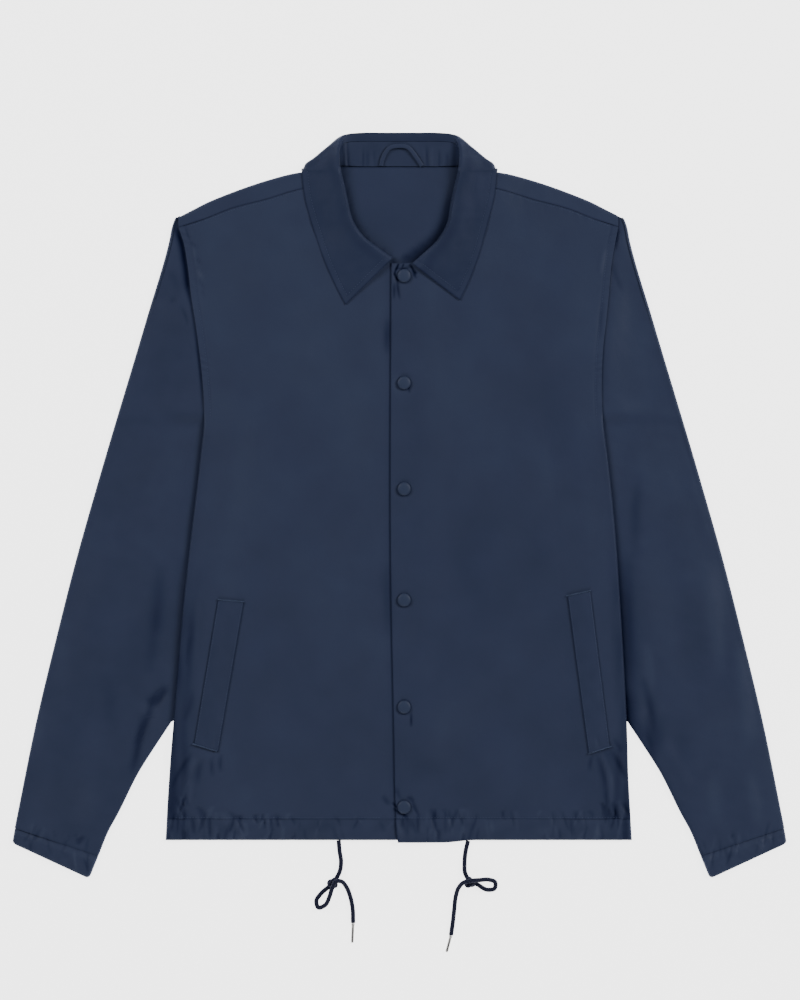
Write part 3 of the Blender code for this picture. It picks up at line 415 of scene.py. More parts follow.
COLLAR_INSIDE_COLUMNS = 15
LEAF_COLUMNS = 56
STAND_ROWS = 300
STAND_COLUMNS = 16
LOOP_ROWS = 70
LOOP_COLUMNS = 9
WELT_ROWS = 90
WELT_COLUMNS = 22
WELT_EDGE_COLUMNS = 5
SNAP_RINGS = 40
SNAP_SIDES = 72
CORD_RINGS = 170
CORD_SIDES = 20
KNOT_RINGS = 180
KNOT_SIDES = 16
TIP_SIDES = 28

# Uneven waves of the cloth and of its tone: their height, size, seed, and how much longer they are down than across
Wave = namedtuple("Wave", "height size seed stretch")
WAVES = {
    "front": (Wave(0.00040, 0.150, 11, 2.2), Wave(0.00013, 0.050, 12, 1.6), Wave(0.000035, 0.014, 13, 1.0)),
    "front_tone": (Wave(0.035, 0.110, 31, 1.5), Wave(0.02, 0.040, 32, 1.0)),
    "streaks": (Wave(0.45, 0.012, 36, 7.0),),
    "over_shoulder": (Wave(0.00018, 0.022, 41, 1.0),),
    "neck": (Wave(0.00030, 0.060, 42, 1.0), Wave(0.00006, 0.014, 43, 1.0)),
    "back_tone": (Wave(0.03, 0.080, 45, 1.0),),
    "casing": (Wave(0.00015, 0.020, 26, 1.0),),
    "casing_tone": (Wave(0.06, 0.030, 33, 0.6),),
    "sleeve_long": (Wave(0.00045, 0.070, 0, 3.2),),
    "sleeve": (Wave(0.00012, 0.030, 1, 1.8), Wave(0.00003, 0.013, 2, 1.0)),
    "sleeve_long_tone": (Wave(0.05, 0.060, 0, 3.0),),
    "sleeve_tone": (Wave(0.02, 0.020, 1, 1.0),),
    "cuff": (Wave(0.0002, 0.012, 83, 1.0),),
    "cuff_tone": (Wave(0.04, 0.012, 85, 1.0),),
    "collar": (Wave(0.00022, 0.050, 91, 1.0), Wave(0.00006, 0.014, 92, 1.0)),
    "collar_tone": (Wave(0.04, 0.045, 94, 1.0), Wave(0.02, 0.015, 95, 1.0)),
    "stand": (Wave(0.00015, 0.030, 96, 1.0),),
    "stand_tone": (Wave(0.04, 0.025, 98, 1.0),),
    "welt": (Wave(0.00008, 0.018, 97, 1.0),),
    "welt_tone": (Wave(0.03, 0.020, 99, 1.0),),
}
SLEEVE_SLANT = (0.94, 0.26)
SLEEVE_SEEDS = {-1: 60, 1: 50}
SLEEVE_TONE_SEEDS = {-1: 75, 1: 70}
CUFF_GATHER_SEEDS = {-1: 109, 1: 107}
HEM_GATHER_SEED = 103

# Puckers of the seams: pitch along the seam, reach away from it, share of the full height, seed and lean
Pucker = namedtuple("Pucker", "pitch reach share seed lean")
PUCKERS = {
    "armhole": Pucker(0.0085, 0.010, 0.5, 21, 0.5),
    "hem": Pucker(0.0125, 0.011, 0.4, 22, 0.7),
    "shoulder": Pucker(0.0110, 0.006, 0.35, 23, 0.0),
    "back_neck": Pucker(0.0100, 0.008, 0.5, 44, 0.0),
    "casing_top": Pucker(0.0125, 0.016, 1.0, 22, -0.5),
    "casing_foot": Pucker(0.0170, 0.012, 0.8, 25, 0.6),
    "sleeve_armhole": Pucker(0.0090, 0.012, 0.45, 3, -0.6),
    "sleeve_end": Pucker(0.0088, 0.011, 0.35, 4, 0.0),
    "collar": Pucker(0.0065, 0.004, 0.13333333, 93, 0.0),
}

# Painted shade in streaked strips down the fronts' sides: how dark, where they fade out upwards, and where towards the
# middle
Strip = namedtuple("Strip", "dark low high near far")
SIDE_SHADE_STRIPS = {
    -1: (Strip(0.32, -0.15, -0.05, 0.010, 0.026), Strip(0.14, -0.27, -0.20, 0.018, 0.045)),
    1: (Strip(0.14, -0.10, -0.03, 0.004, 0.016), Strip(0.20, -0.265, -0.235, 0.016, 0.036)),
}
SIDES_OF = ((-1, "right"), (1, "left"))
ENAMEL_COLOUR = (0.034, 0.048, 0.098)
BRAID_COLOUR = (0.013, 0.015, 0.037)
NICKEL_COLOUR = (0.62, 0.61, 0.60)
CLOTH_SEEDS = {"back": 1.0, "front": 2.0, "sleeve": 3.0, "casing": 4.0, "cuff": 5.0, "collar": 6.0, "welt": 7.0}

# The flat cut of a piece: width and length of the pattern's rectangle, its own area, and what it lies on
Cut = namedtuple("Cut", "width length area rests_on")

# Studio: floor, lamps and the camera's frame
FLOOR_SIZE = 8.0
LAMPS = (
    ("lamp_left", (-2.3, 1.5, 2.3), 1.8, 0.75),
    ("lamp_right", (2.3, 1.2, 2.2), 1.6, 1.0),
    ("lamp_foot", (-0.3, -2.8, 2.2), 2.0, 0.45),
)
SENSOR = 36.0
FRAME_HEIGHT = 1.05
FRAME_MIDDLE = (0.0005, 0.00525)
JACKET_MIDDLE_Z = 0.006


def curve_at(places, values, at):
    """A smooth curve through a table: each stretch is a cubic that leaves and meets its ends at their mean slope."""
    places = np.asarray(places, float)
    values = np.asarray(values, float)
    if places[0] > places[-1]:
        places, values = places[::-1], values[::-1]
    slopes = np.gradient(values, places, axis=0)
    at = np.clip(at, places[0], places[-1])
    i = np.clip(np.searchsorted(places, at) - 1, 0, len(places) - 2)
    width = places[i + 1] - places[i]
    t = (at - places[i]) / width
    extra = values.ndim - 1
    width = width.reshape(width.shape + (1,) * extra)
    t = t.reshape(t.shape + (1,) * extra)
    rise = values[i + 1] - values[i]
    ease = t * t * (3 - 2 * t)
    bend = slopes[i] * t * (1 - t) ** 2 - slopes[i + 1] * t * t * (1 - t)
    return values[i] + rise * ease + width * bend


def read(table, given, wanted, at):
    """A table's wanted column where its given column is at, along a smooth curve."""
    return curve_at([getattr(row, given) for row in table], [getattr(row, wanted) for row in table], at)


def step(value, low, high):
    """0 below low, 1 above high, and a smooth rise between."""
    t = np.clip((value - low) / (high - low), 0.0, 1.0)
    return t * t * (3 - 2 * t)


def bell(value, half):
    """1 at 0, falling off as a bell whose half width is half."""
    return np.exp(-((value / half) ** 2))


def side_x(y, side):
    """How far out the body's side lies at a height. side is -1 for the wearer's right and 1 for the left."""
    return read(SIDES, "y", "right" if side < 0 else "left", np.asarray(y, float))


def shoulder(x, line):
    """The height of the shoulder's fold or seam at a place across."""
    return read(SHOULDERS, "x", line, np.abs(x))


def closing_at(y):
    """Where the left front's closing edge lies at a height."""
    return read(CLOSING, "y", "x", y)


def at_points(x, y, z):
    """A grid of points from their coordinates."""
    return np.stack(np.broadcast_arrays(x, y, z), axis=-1)


def raised(grid, height):
    """A grid's points, each moved up by its height."""
    moved = grid.copy()
    moved[..., 2] += height
    return moved


def quarter(count):
    """The share of a quarter circle's radius that lies inside its rim, at equal turns from the rim inwards."""
    return 1 - np.cos(np.linspace(0.0, np.pi / 2, count))


def neckline(x):
    """The front neckline is a quarter of a rounded rectangle from the closing to the neck point."""
    across = np.clip(np.abs(x) / NECK_HALF, 0.0, 1.0) ** NECK_ROUND
    return NECK_FRONT_Y + (NECK_POINT_Y - NECK_FRONT_Y) * (1 - np.sqrt(1 - across))


def rumple(x, y, size, seed, stretch=1.0, waves=26):
    """Soft uneven relief of about -1 to 1: plane waves of random direction, length near size, and phase."""
    random = np.random.default_rng(seed)
    turn = random.uniform(0.0, 2 * np.pi, waves)
    length = size * random.uniform(0.6, 1.8, waves)
    start = random.uniform(0.0, 2 * np.pi, waves)
    total = np.zeros(np.broadcast(x, y).shape)
    for angle, long, phase in zip(turn, length, start):
        total += np.sin(2 * np.pi * (x * np.cos(angle) + y / stretch * np.sin(angle)) / long + phase)
    return total / np.sqrt(waves * 2)


def waves(x, y, name, seed=0):
    """The sum of the waves of a name: each is its height times a rumple of its size, seed and stretch."""
    return sum(wave.height * rumple(x, y, wave.size, wave.seed + seed, wave.stretch) for wave in WAVES[name])


def line_frame(x, y, line):
    """Distance along a table's line and beside it, and the line's length."""
    run = np.array([line.to_x - line.from_x, line.to_y - line.from_y])
    length = np.hypot(*run)
    run /= length
    away_x, away_y = x - line.from_x, y - line.from_y
    return away_x * run[0] + away_y * run[1], away_x * run[1] - away_y * run[0], length


def fold_sum(x, y, table):
    """The sum of a table's folds: a bell across each fold's line, faded beyond its two ends."""
    height = np.zeros(np.broadcast(x, y).shape)
    for fold in table:
        along, beside, length = line_frame(x, y, fold)
        beyond = np.maximum(np.maximum(-along, along - length), 0.0)
        height += fold.height * np.exp(-(beside**2 + beyond**2) / fold.width**2)
    return height


def crease_sum(x, y, table):
    """The sum of a table's creases: a bell across a bowed line, as high as the sine of how far along it is."""
    height = np.zeros(np.broadcast(x, y).shape)
    for crease in table:
        along, beside, length = line_frame(x, y, crease)
        share = along / length
        beside = beside - crease.bow * 4 * share * (1 - share)
        inside = np.sin(np.pi * np.clip(share, 0.0, 1.0)) ** 0.8
        height += crease.height * inside * bell(np.where(inside > 0, beside, 1.0), crease.width)
    return height


def crease_shading(height, full, dark, light):
    """The painted shade that a crease adds: down to -dark in a trough as deep as full, and up to light times dark as
    painted highlight on a ridge.
    """
    return dark * np.clip(height / full, -1.0, light)


def puckers(along, away, name, seed=0):
    """Small wrinkles square to a seam: a wave along it of uneven pitch and strength, dying away from it."""
    row = PUCKERS[name]
    level = np.zeros_like(along)
    uneven = rumple(along, level, row.pitch * 5, row.seed + seed)
    strength = 0.25 + 0.75 * step(rumple(along, level, row.pitch * 4, row.seed + seed + 1), -0.7, 0.8)
    wave = np.sin(2 * np.pi * (along + row.lean * away) / row.pitch + 3.0 * uneven)
    return bpy.context.scene.jacket_cloth.pucker * row.share * wave * strength * bell(away, row.reach)


def scattered(spans, seed):
    """Short creases at random places, leans, lengths and heights inside spans."""
    random = np.random.default_rng(seed)
    creases = []
    for span in spans:
        for _ in range(span.count):
            x, y = random.uniform(span.from_x, span.to_x), random.uniform(span.low, span.high)
            lean, reach = random.uniform(-0.010, 0.010), random.uniform(0.4, 1.0) * (span.high - span.low)
            width, height = random.uniform(0.0012, 0.0024), random.uniform(0.4, 1.0) * span.strongest
            height *= random.choice((-1.0, -1.0, 0.8))
            top = min(y + reach / 2, span.high)
            bow = random.uniform(-0.001, 0.001)
            creases.append(Crease(x, y - reach / 2, x + lean, top, bow, width, height))
    return creases


def hem_gathers(x, y, side):
    """Short gathers that the hem cord draws up across the casing seam."""
    return crease_sum(x, y, scattered(HEM_SPANS_RIGHT if side < 0 else HEM_SPANS_LEFT, HEM_GATHER_SEED))


def under_body(x, y):
    """The height of the back's underside: it rises over the tucked sleeves and over the turned-down collar."""
    side = np.where(x < 0, side_x(y, -1), side_x(y, 1))
    inwards = side - np.abs(x)
    beside = 1 - step(inwards, TUCK_DEPTH + 0.010, TUCK_DEPTH + 0.045)
    along = step(y, SLEEVE_CLEAR_Y - 0.060, SLEEVE_CLEAR_Y - 0.024)
    along = along * (1 - step(y, UNDERARM_Y - 0.025, UNDERARM_Y + 0.035))
    collar = step(y, 0.285, 0.312) * (1 - step(np.abs(x), 0.104, 0.135))
    return TUCK_LIFT * beside * along + COLLAR_LIFT * collar


def side_turn(y):
    """1 where front and back are folded together at the side, 0 along the armhole."""
    return 1 - step(y, UNDERARM_Y - 0.020, UNDERARM_Y + 0.004)


def ride(x, side):
    """How far the left front is raised by the underlap of the right one."""
    if side < 0:
        return np.zeros_like(x)
    return (WALL + LAY) * (1 - step(x, UNDERLAP_X + 0.002, UNDERLAP_X + 0.040))


def front_height(x, y, side):
    """The top of a front panel before its fine relief."""
    return under_body(x, y) + BODY_THICK + fold_sum(x, y, BODY_FOLDS) + ride(x, side)


def front_relief(x, y):
    """Fine relief of both fronts: loose waves, creases, seam puckers, stitched lines and the pull of the snaps."""
    height = waves(x, y, "front") + crease_sum(x, y, FRONT_CREASES) + crease_sum(x, y, FRONT_HOLLOWS)
    height += np.where(x < CLOSING_X, hem_gathers(x, y, -1), hem_gathers(x, y, 1))
    out = np.where(x < 0, side_x(y, -1), side_x(y, 1)) - np.abs(x)
    armhole = step(y, UNDERARM_Y - 0.010, UNDERARM_Y + 0.010)
    height += armhole * (puckers(y, out, "armhole") - 0.00035 * bell(out - ARMHOLE_STITCH, LINE_HALF))
    busy = 0.35 + 0.65 * step(np.abs(x), 0.10, 0.16) + 0.5 * bell(x - 0.040, 0.040)
    height += busy * puckers(x, y - CASING_Y, "hem") + puckers(x, shoulder(x, "seam") - y, "shoulder")
    for snap_y in SNAP_YS:
        height -= SNAP_DIMPLE * bell(np.hypot(x - SNAP_X, y - snap_y) - 0.0085, 0.0028)
    return np.maximum(height, -DEEPEST)


def front_top(x, y, side):
    """The top of a front panel with its fine relief."""
    return front_height(x, y, side) + front_relief(x, y)


def turned(x, y, z, side, radius, up):
    """Rounds the outer columns of a sheet at the body's side. up is 1 where it turns up and -1 where down."""
    depth = np.clip(side_x(y, side) - np.abs(x), 0.0, radius)
    drop = radius - np.sqrt(np.maximum(radius**2 - (radius - depth) ** 2, 0.0))
    return z + up * side_turn(y) * drop


def spread(start, end, count, closer):
    """Positions from start to end that lie closer together, by its times, within about half of each mark."""
    fine = np.linspace(start, end, 3000)
    weight = 1.0 + (closer.times - 1.0) * sum(bell(fine - mark, closer.half) for mark in closer.marks)
    total = np.concatenate([[0.0], np.cumsum((weight[1:] + weight[:-1]) / 2)])
    return np.interp(np.linspace(0.0, total[-1], count), total, fine)


def dense(net, rows, columns):
    """A fine smooth grid through a coarse net of points: cubic curves along its rows, then along its columns."""
    down = np.linspace(0.0, len(net) - 1.0, rows)
    across = np.linspace(0.0, net.shape[1] - 1.0, columns)
    net = curve_at(np.arange(len(net)), net, down)
    return curve_at(np.arange(net.shape[1]), net.swapaxes(0, 1), across).swapaxes(0, 1)


def lengths(grid, axis):
    """Distance along each row (axis 1) or column (axis 0) of a grid of points, from its start."""
    leg = np.linalg.norm(np.diff(grid, axis=axis), axis=-1)
    start = np.zeros_like(np.take(leg, [0], axis=axis))
    return np.concatenate([start, np.cumsum(leg, axis=axis)], axis=axis)


def normals(grid, ring=False, rounded=False):
    """Unit normals of a grid, from the cross product of its steps across and down."""
    down = np.gradient(grid, axis=0)
    if ring:
        across = (np.roll(grid, -1, axis=1) - np.roll(grid, 1, axis=1)) / 2
    else:
        across = np.gradient(grid, axis=1, edge_order=2 if rounded else 1)
    normal = np.cross(across, down)
    return normal / np.maximum(np.linalg.norm(normal, axis=-1, keepdims=True), 1e-12)


def quads(index):
    """The four-sided faces between neighbouring rows and columns of point numbers."""
    corners = (index[:-1, :-1], index[:-1, 1:], index[1:, 1:], index[1:, :-1])
    return np.stack(corners, axis=-1).reshape(-1, 4)


def volume(points, faces):
    """Six times the signed volume inside closed faces, summed over each face cut into a fan of triangles."""
    total = 0.0
    for group in faces:
        for i in range(1, group.shape[1] - 1):
            a, b, c = points[group[:, 0]], points[group[:, i]], points[group[:, i + 1]]
            total += np.einsum("ij,ij->", a, np.cross(b, c))
    return total


def place(name, points, faces, look, replaced=(), uv=None, tone=None):
    """Adds one closed piece: kept above the floor, turned outwards, shaded smooth, with its material, slot and body."""
    points = np.column_stack([points[:, :2], np.maximum(points[:, 2], 0.0)])
    if volume(points - points.mean(axis=0), faces) < 0:
        faces = [group[:, ::-1] for group in faces]
    loops = np.concatenate([group.ravel() for group in faces])
    sizes = np.concatenate([np.full(len(group), group.shape[1]) for group in faces])
    mesh = bpy.data.meshes.new(name)
    mesh.vertices.add(len(points))
    mesh.vertices.foreach_set("co", np.ascontiguousarray(points, np.float32).ravel())
    mesh.loops.add(len(loops))
    mesh.loops.foreach_set("vertex_index", loops.astype(np.int32))
    mesh.polygons.add(len(sizes))
    mesh.polygons.foreach_set("loop_start", (np.cumsum(sizes) - sizes).astype(np.int32))
    mesh.update(calc_edges=True)
    if uv is not None:
        layer = mesh.uv_layers.new(name="Cloth")
        layer.uv.foreach_set("vector", np.ascontiguousarray(uv[loops], np.float32).ravel())
    if tone is not None:
        # The tone attribute holds random tone with painted shade and painted highlight, its darks turned bluer
        shade = mesh.attributes.new("tone", "FLOAT_COLOR", "POINT")
        tone_and_shade = np.maximum(tone, DARKEST_TONE)[:, None] ** np.array(TONE_POWERS)
        shade.data.foreach_set("color", np.ascontiguousarray(tone_and_shade, np.float32).ravel())
    mesh.shade_smooth()
    mesh.set_sharp_from_angle(angle=SHARP_ANGLE)
    mesh.materials.append(look)
    piece = bpy.data.objects.new(name, mesh)
    bpy.context.scene.collection.objects.link(piece)
    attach(piece, BODY)
    if replaced:
        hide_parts(*replaced)
    return piece


def sewn(part, kind, outer, inner, tone=None, ring=False):
    """A closed wall of cloth between an outer and an inner grid.

    A ring's last column joins its first. kind names the nylon and its slot.
    """
    rows, columns = outer.shape[:2]
    index = np.arange(rows * columns).reshape(rows, columns)
    if ring:
        index = np.concatenate([index, index[:, :1]], axis=1)
    inside = index + rows * columns
    faces = [quads(index), quads(inside)[:, ::-1]]
    rims = [(0, slice(None)), (-1, slice(None))]
    if not ring:
        rims += [(slice(None), 0), (slice(None), -1)]
    for number, rim in enumerate(rims):
        strip = quads(np.stack([index[rim], inside[rim]]))
        faces.append(strip[:, ::-1] if number in (0, 3) else strip)
    points = np.concatenate([outer.reshape(-1, 3), inner.reshape(-1, 3)])
    middle = lengths(outer, 1)[rows // 2], lengths(outer, 0)[:, columns // 2]
    flat = np.stack(np.meshgrid(*middle), axis=-1).reshape(-1, 2)
    shade = (np.ones(outer.shape[:2]) if tone is None else tone).ravel()
    uv = np.concatenate([flat, flat])
    look = bpy.data.materials.get(kind + "_cloth") or nylon(kind + "_cloth", CLOTH_SEEDS[kind])
    shade = np.concatenate([shade, shade])
    piece = place(part + "_cloth", points, faces, look, (part,), uv, shade)


def behind(grid, thickness, ring=False, rounded=False):
    """The points one thickness behind a grid, along its normals."""
    return grid - normals(grid, ring, rounded) * thickness


def rings_piece(name, rings, look, replaced=(), uv=None, closed=False):
    """A closed piece through rings of points: a point closes each end, or the end is joined to the start."""
    count, sides = rings.shape[:2]
    index = np.arange(count * sides).reshape(count, sides)
    index = np.concatenate([index, index[:, :1]], axis=1)
    if closed:
        index = np.concatenate([index, index[:1]])
        return place(name, rings.reshape(-1, 3), [quads(index)], look, replaced, uv.reshape(-1, 2))
    ends = np.array([rings[0].mean(axis=0), rings[-1].mean(axis=0)])
    low = np.stack([np.full(sides, count * sides), index[0, 1:], index[0, :-1]], axis=-1)
    high = np.stack([np.full(sides, count * sides + 1), index[-1, :-1], index[-1, 1:]], axis=-1)
    points = np.concatenate([rings.reshape(-1, 3), ends])
    if uv is not None:
        uv = np.concatenate([uv.reshape(-1, 2), uv[[0, -1], 0]])
    return place(name, points, [quads(index), low, high], look, replaced, uv)


def revolved(profile, middle, sides):
    """Rings of a profile of (distance out, height), turned about the vertical through middle."""
    turn = np.linspace(0.0, 2 * np.pi, sides, endpoint=False)
    out, up = np.array(profile).T
    ring = np.stack([np.cos(turn), np.sin(turn), np.zeros(sides)], axis=-1)
    return out[:, None, None] * ring + up[:, None, None] * np.array([0.0, 0.0, 1.0]) + np.asarray(middle)


def carried(path, radius, sides):
    """Rings of a circle carried along a path, square to it, and each ring's place along and around it."""
    run = np.gradient(path, axis=0)
    run /= np.linalg.norm(run, axis=1, keepdims=True)
    beside = np.cross(run, (0.0, 0.0, 1.0))
    beside /= np.linalg.norm(beside, axis=1, keepdims=True)
    above = np.cross(beside, run)
    turn = np.linspace(0.0, 2 * np.pi, sides, endpoint=False)
    radius = np.broadcast_to(radius, len(path))[:, None, None]
    rings = path[:, None] + radius * (
        np.cos(turn)[None, :, None] * beside[:, None] + np.sin(turn)[None, :, None] * above[:, None]
    )
    along = lengths(path, 0)
    uv = np.stack(np.meshgrid(turn / (2 * np.pi), along), axis=-1)
    return rings, uv


def front_grids(side):
    """A front's top and its plain underside. Columns run from the side to the closing edge, rows from the casing up.

    Rows follow the body's side below and take on the shoulder seam's and the neckline's shape above.
    """
    end = float(side_x(ARMHOLE_TOP_Y, side))
    closing = CLOSING_X if side > 0 else -UNDERLAP_X
    radius = (BODY_THICK - SEAM) / 2
    turn = end - radius * quarter(TURN_STEPS)
    lip = closing + LIP * np.cos(np.linspace(0.0, np.pi / 2, LIP_STEPS))
    flat = spread(turn[-1], lip[0], FRONT_COLUMNS, CLOSER_COLUMNS[side])[1:-1]
    top_x = np.concatenate([turn, flat, lip])
    count = len(turn)
    top_y = np.where(top_x >= NECK_HALF, shoulder(top_x, "seam") - SEAM, neckline(top_x))
    top_y[:count] = np.linspace(ARMHOLE_TOP_Y, top_y[count], count)
    y = spread(CASING_Y + SEAM, ARMHOLE_TOP_Y, FRONT_ROWS, CLOSER_ROWS)[:, None]
    y = y + step(y, 0.02, ARMHOLE_TOP_Y) * (top_y[None, :] - ARMHOLE_TOP_Y)
    reach = side_x(y, side)
    share = (top_x[count - 1] - top_x) / (top_x[count - 1] - top_x[-1])
    flat_reach = reach - (top_x[0] - top_x[count - 1])
    x = flat_reach + (top_x[-1] - flat_reach) * share[None, :]
    x[:, :count] = reach[:, :count] - (top_x[0] - top_x[None, :count])
    if side > 0:
        x = x + (closing_at(y) - CLOSING_X) * np.clip(share, 0.0, 1.0) ** 2
        closing = closing_at(y)
    edge = np.clip(x - closing, 0.0, LIP)
    lip_drop = LIP - np.sqrt(np.maximum(LIP**2 - (LIP - edge) ** 2, 0.0))
    x = side * x
    plain = at_points(x, y, turned(x, y, front_height(x, y, side), side, radius, -1))
    return raised(plain, front_relief(x, y) - 0.6 * lip_drop), behind(plain, -side * WALL, rounded=True)


def front_tone(x, y, side):
    """How light the front's cloth looks: uneven at random, the wearer's right front painted a little lighter, with
    painted shade in creases, hollows and gathers, in the stitched and seam lines, round the snaps, down the sides and
    along the closing edge, and painted highlight on ridges and swells.
    """
    out = side_x(y, side) - np.abs(x)
    armhole = step(y, UNDERARM_Y - 0.010, UNDERARM_Y + 0.010)
    # Random tone, with the wearer's right front painted a little lighter
    tone = (1.05 if side < 0 else 1.0) + waves(x, y, "front_tone")
    # Painted shade in crease troughs and hollows, painted highlight on their ridges and swells
    tone += crease_shading(crease_sum(x, y, FRONT_CREASES), FULL_CREASE, CREASE_SHADE, 0.4)
    narrow = [crease for crease in FRONT_CREASES if crease.width < NARROW_CREASE]
    tone += crease_shading(crease_sum(x, y, narrow), FULL_CREASE, NARROW_SHADE, 0.2)
    tone += HOLLOW_SHADE * crease_sum(x, y, FRONT_HOLLOWS)
    # Painted shade in the armhole's stitched groove
    seam = 0.10 + 0.16 * step(rumple(y, np.zeros_like(y), 0.060, 34), -0.5, 0.8)
    tone -= seam * armhole * bell(out - ARMHOLE_STITCH, LINE_HALF)
    # Painted shadow ring round each snap cap
    for snap_y in SNAP_YS:
        tone -= SNAP_SHADE * bell(np.hypot(x - SNAP_X, y - snap_y) - 0.0072, 0.0007)
    # Painted shade where the lower sides round away, and in streaked strips down them
    tone -= 0.10 * (1 - step(y, 0.05, 0.12)) * bell(out, 0.006)
    streaks = 0.75 + waves(x, y, "streaks")
    for strip in SIDE_SHADE_STRIPS[side]:
        tone -= strip.dark * (1 - step(y, strip.low, strip.high)) * (1 - step(out, strip.near, strip.far)) * streaks
    # Painted shade in the hem gathers and along the casing and shoulder seams
    tone += crease_shading(hem_gathers(x, y, side), FULL_GATHER, GATHER_SHADE, 0.4)
    hem_line = 0.16 + 0.22 * np.clip(rumple(x, 0 * x, 0.024, 35), 0, 1)
    tone -= hem_line * bell(y - CASING_Y - 0.0006, 0.0009)
    tone -= 0.18 * bell(shoulder(x, "seam") - y, 0.0009)
    # Painted shade along the closing edge; on the right front, painted shadow under the left front's edge
    line = x - closing_at(y)
    if side > 0:
        return tone - 0.40 * bell(line, LINE_HALF)
    tone -= 0.35 * bell(line + 0.0008, 0.0010) + 0.05 * bell(line + 0.003, 0.003)
    return tone - 0.14 * bell(y - 0.178, 0.016) * bell(line + 0.0040, 0.0035)


def back_grids():
    """The back: flat below, turned up at the sides, and carried over the shoulders' half circles to the seams.

    The relief lies on the inner face alone, so that the outer one rests flat.
    """
    radius = BODY_THICK / 2
    side_round = (BODY_THICK - SEAM) / 2
    half = np.linspace(0.0, 0.204, BACK_HALF_COLUMNS)
    y_side = np.linspace(CASING_Y + SEAM, ARMHOLE_TOP_Y, BACK_ROWS)[:, None]
    turn = side_round * quarter(TURN_STEPS)[::-1]
    made = []
    for side in (-1, 1):
        top_x = np.concatenate([half, float(side_x(ARMHOLE_TOP_Y, side)) - turn])
        wrap = step(top_x, 0.0690, NECK_HALF)
        fold = shoulder(top_x, "fold")
        start = np.minimum(fold - radius, BACK_NECK_Y - 0.006)
        y = y_side + step(y_side, 0.02, ARMHOLE_TOP_Y) * (start[None, :] - ARMHOLE_TOP_Y)
        reach = side_x(y, side)
        x = (reach - turn[0]) * (top_x / top_x[len(half)])[None, :]
        x[:, len(half):] = reach[:, len(half):] - turn[None, :]
        z = turned(x * side, y, under_body(x * side, y), side, side_round, 1)
        bend = fold - radius - start
        whole = bend + np.pi * radius + fold - radius - shoulder(top_x, "seam")
        stop = wrap * whole + (1 - wrap) * (BACK_NECK_Y - start)
        s = np.linspace(0.0, 1.0, SHOULDER_ROWS)[1:, None] * stop
        angle = np.clip((s - bend) / radius, 0.0, np.pi)
        row_y = start + np.minimum(s, bend) + radius * np.sin(angle) - np.maximum(s - bend - np.pi * radius, 0.0)
        row_x = side * np.minimum(top_x, side_x(row_y, side))
        row_z = under_body(row_x, row_y) + radius * (1 - np.cos(angle))
        fine = waves(row_x, row_y, "over_shoulder") * np.sin(angle / 2) ** 2
        made.append(np.concatenate([at_points(x * side, y, z), at_points(row_x, row_y, row_z + fine)]))
    outer = np.concatenate([made[0][:, ::-1], made[1][:, 1:]], axis=1)
    inner = behind(outer, -WALL, rounded=True)
    x, y = inner[..., 0], inner[..., 1]
    near = (outer[..., 2] < radius) & (y > 0.20) & (np.abs(x) < 0.085)
    fine = waves(x, y, "neck") + puckers(x, BACK_NECK_Y - y, "back_neck")
    return outer, raised(inner, np.where(near, np.clip(fine, -0.0005, 0.0008), 0.0))


def back_tone(x, y, z):
    """How light the back looks: uneven at random, painted a little lighter where it is carried high over the shoulders,
    with painted shadow inside the neck beside the collar's roll and under the neck seam, and painted shade at the
    shoulder seam.
    """
    # Random tone, painted a little lighter where the back is carried high over the shoulders
    tone = 0.95 + waves(x, y, "back_tone") + 0.05 * step(z, 0.004, 0.005)
    rolls = [section for section in COLLAR_RIGHT if section.wrap == 0.0]
    inside = read(rolls, "roll_y", "roll_x", y) - np.abs(x)
    low = 1 - step(z, 0.003, 0.004)
    high = step(y, 0.312, 0.334)
    # Painted shadow inside the neck beside the collar's roll and under the neck seam
    band = 0.50 * step(y, 0.245, 0.262) * (1 - 0.7 * high)
    left = band * bell(np.maximum(inside, 0.0), 0.0070 - 0.0045 * high)
    tone -= low * np.where(x > 0, left, 0.30 * bell(inside, 0.0018)) + 0.30 * low * bell(BACK_NECK_Y - y, 0.0012)
    # Painted shade at the shoulder seam
    return tone - 0.30 * step(z, 0.004, 0.005) * bell(shoulder(x, "seam") - y, 0.0011)


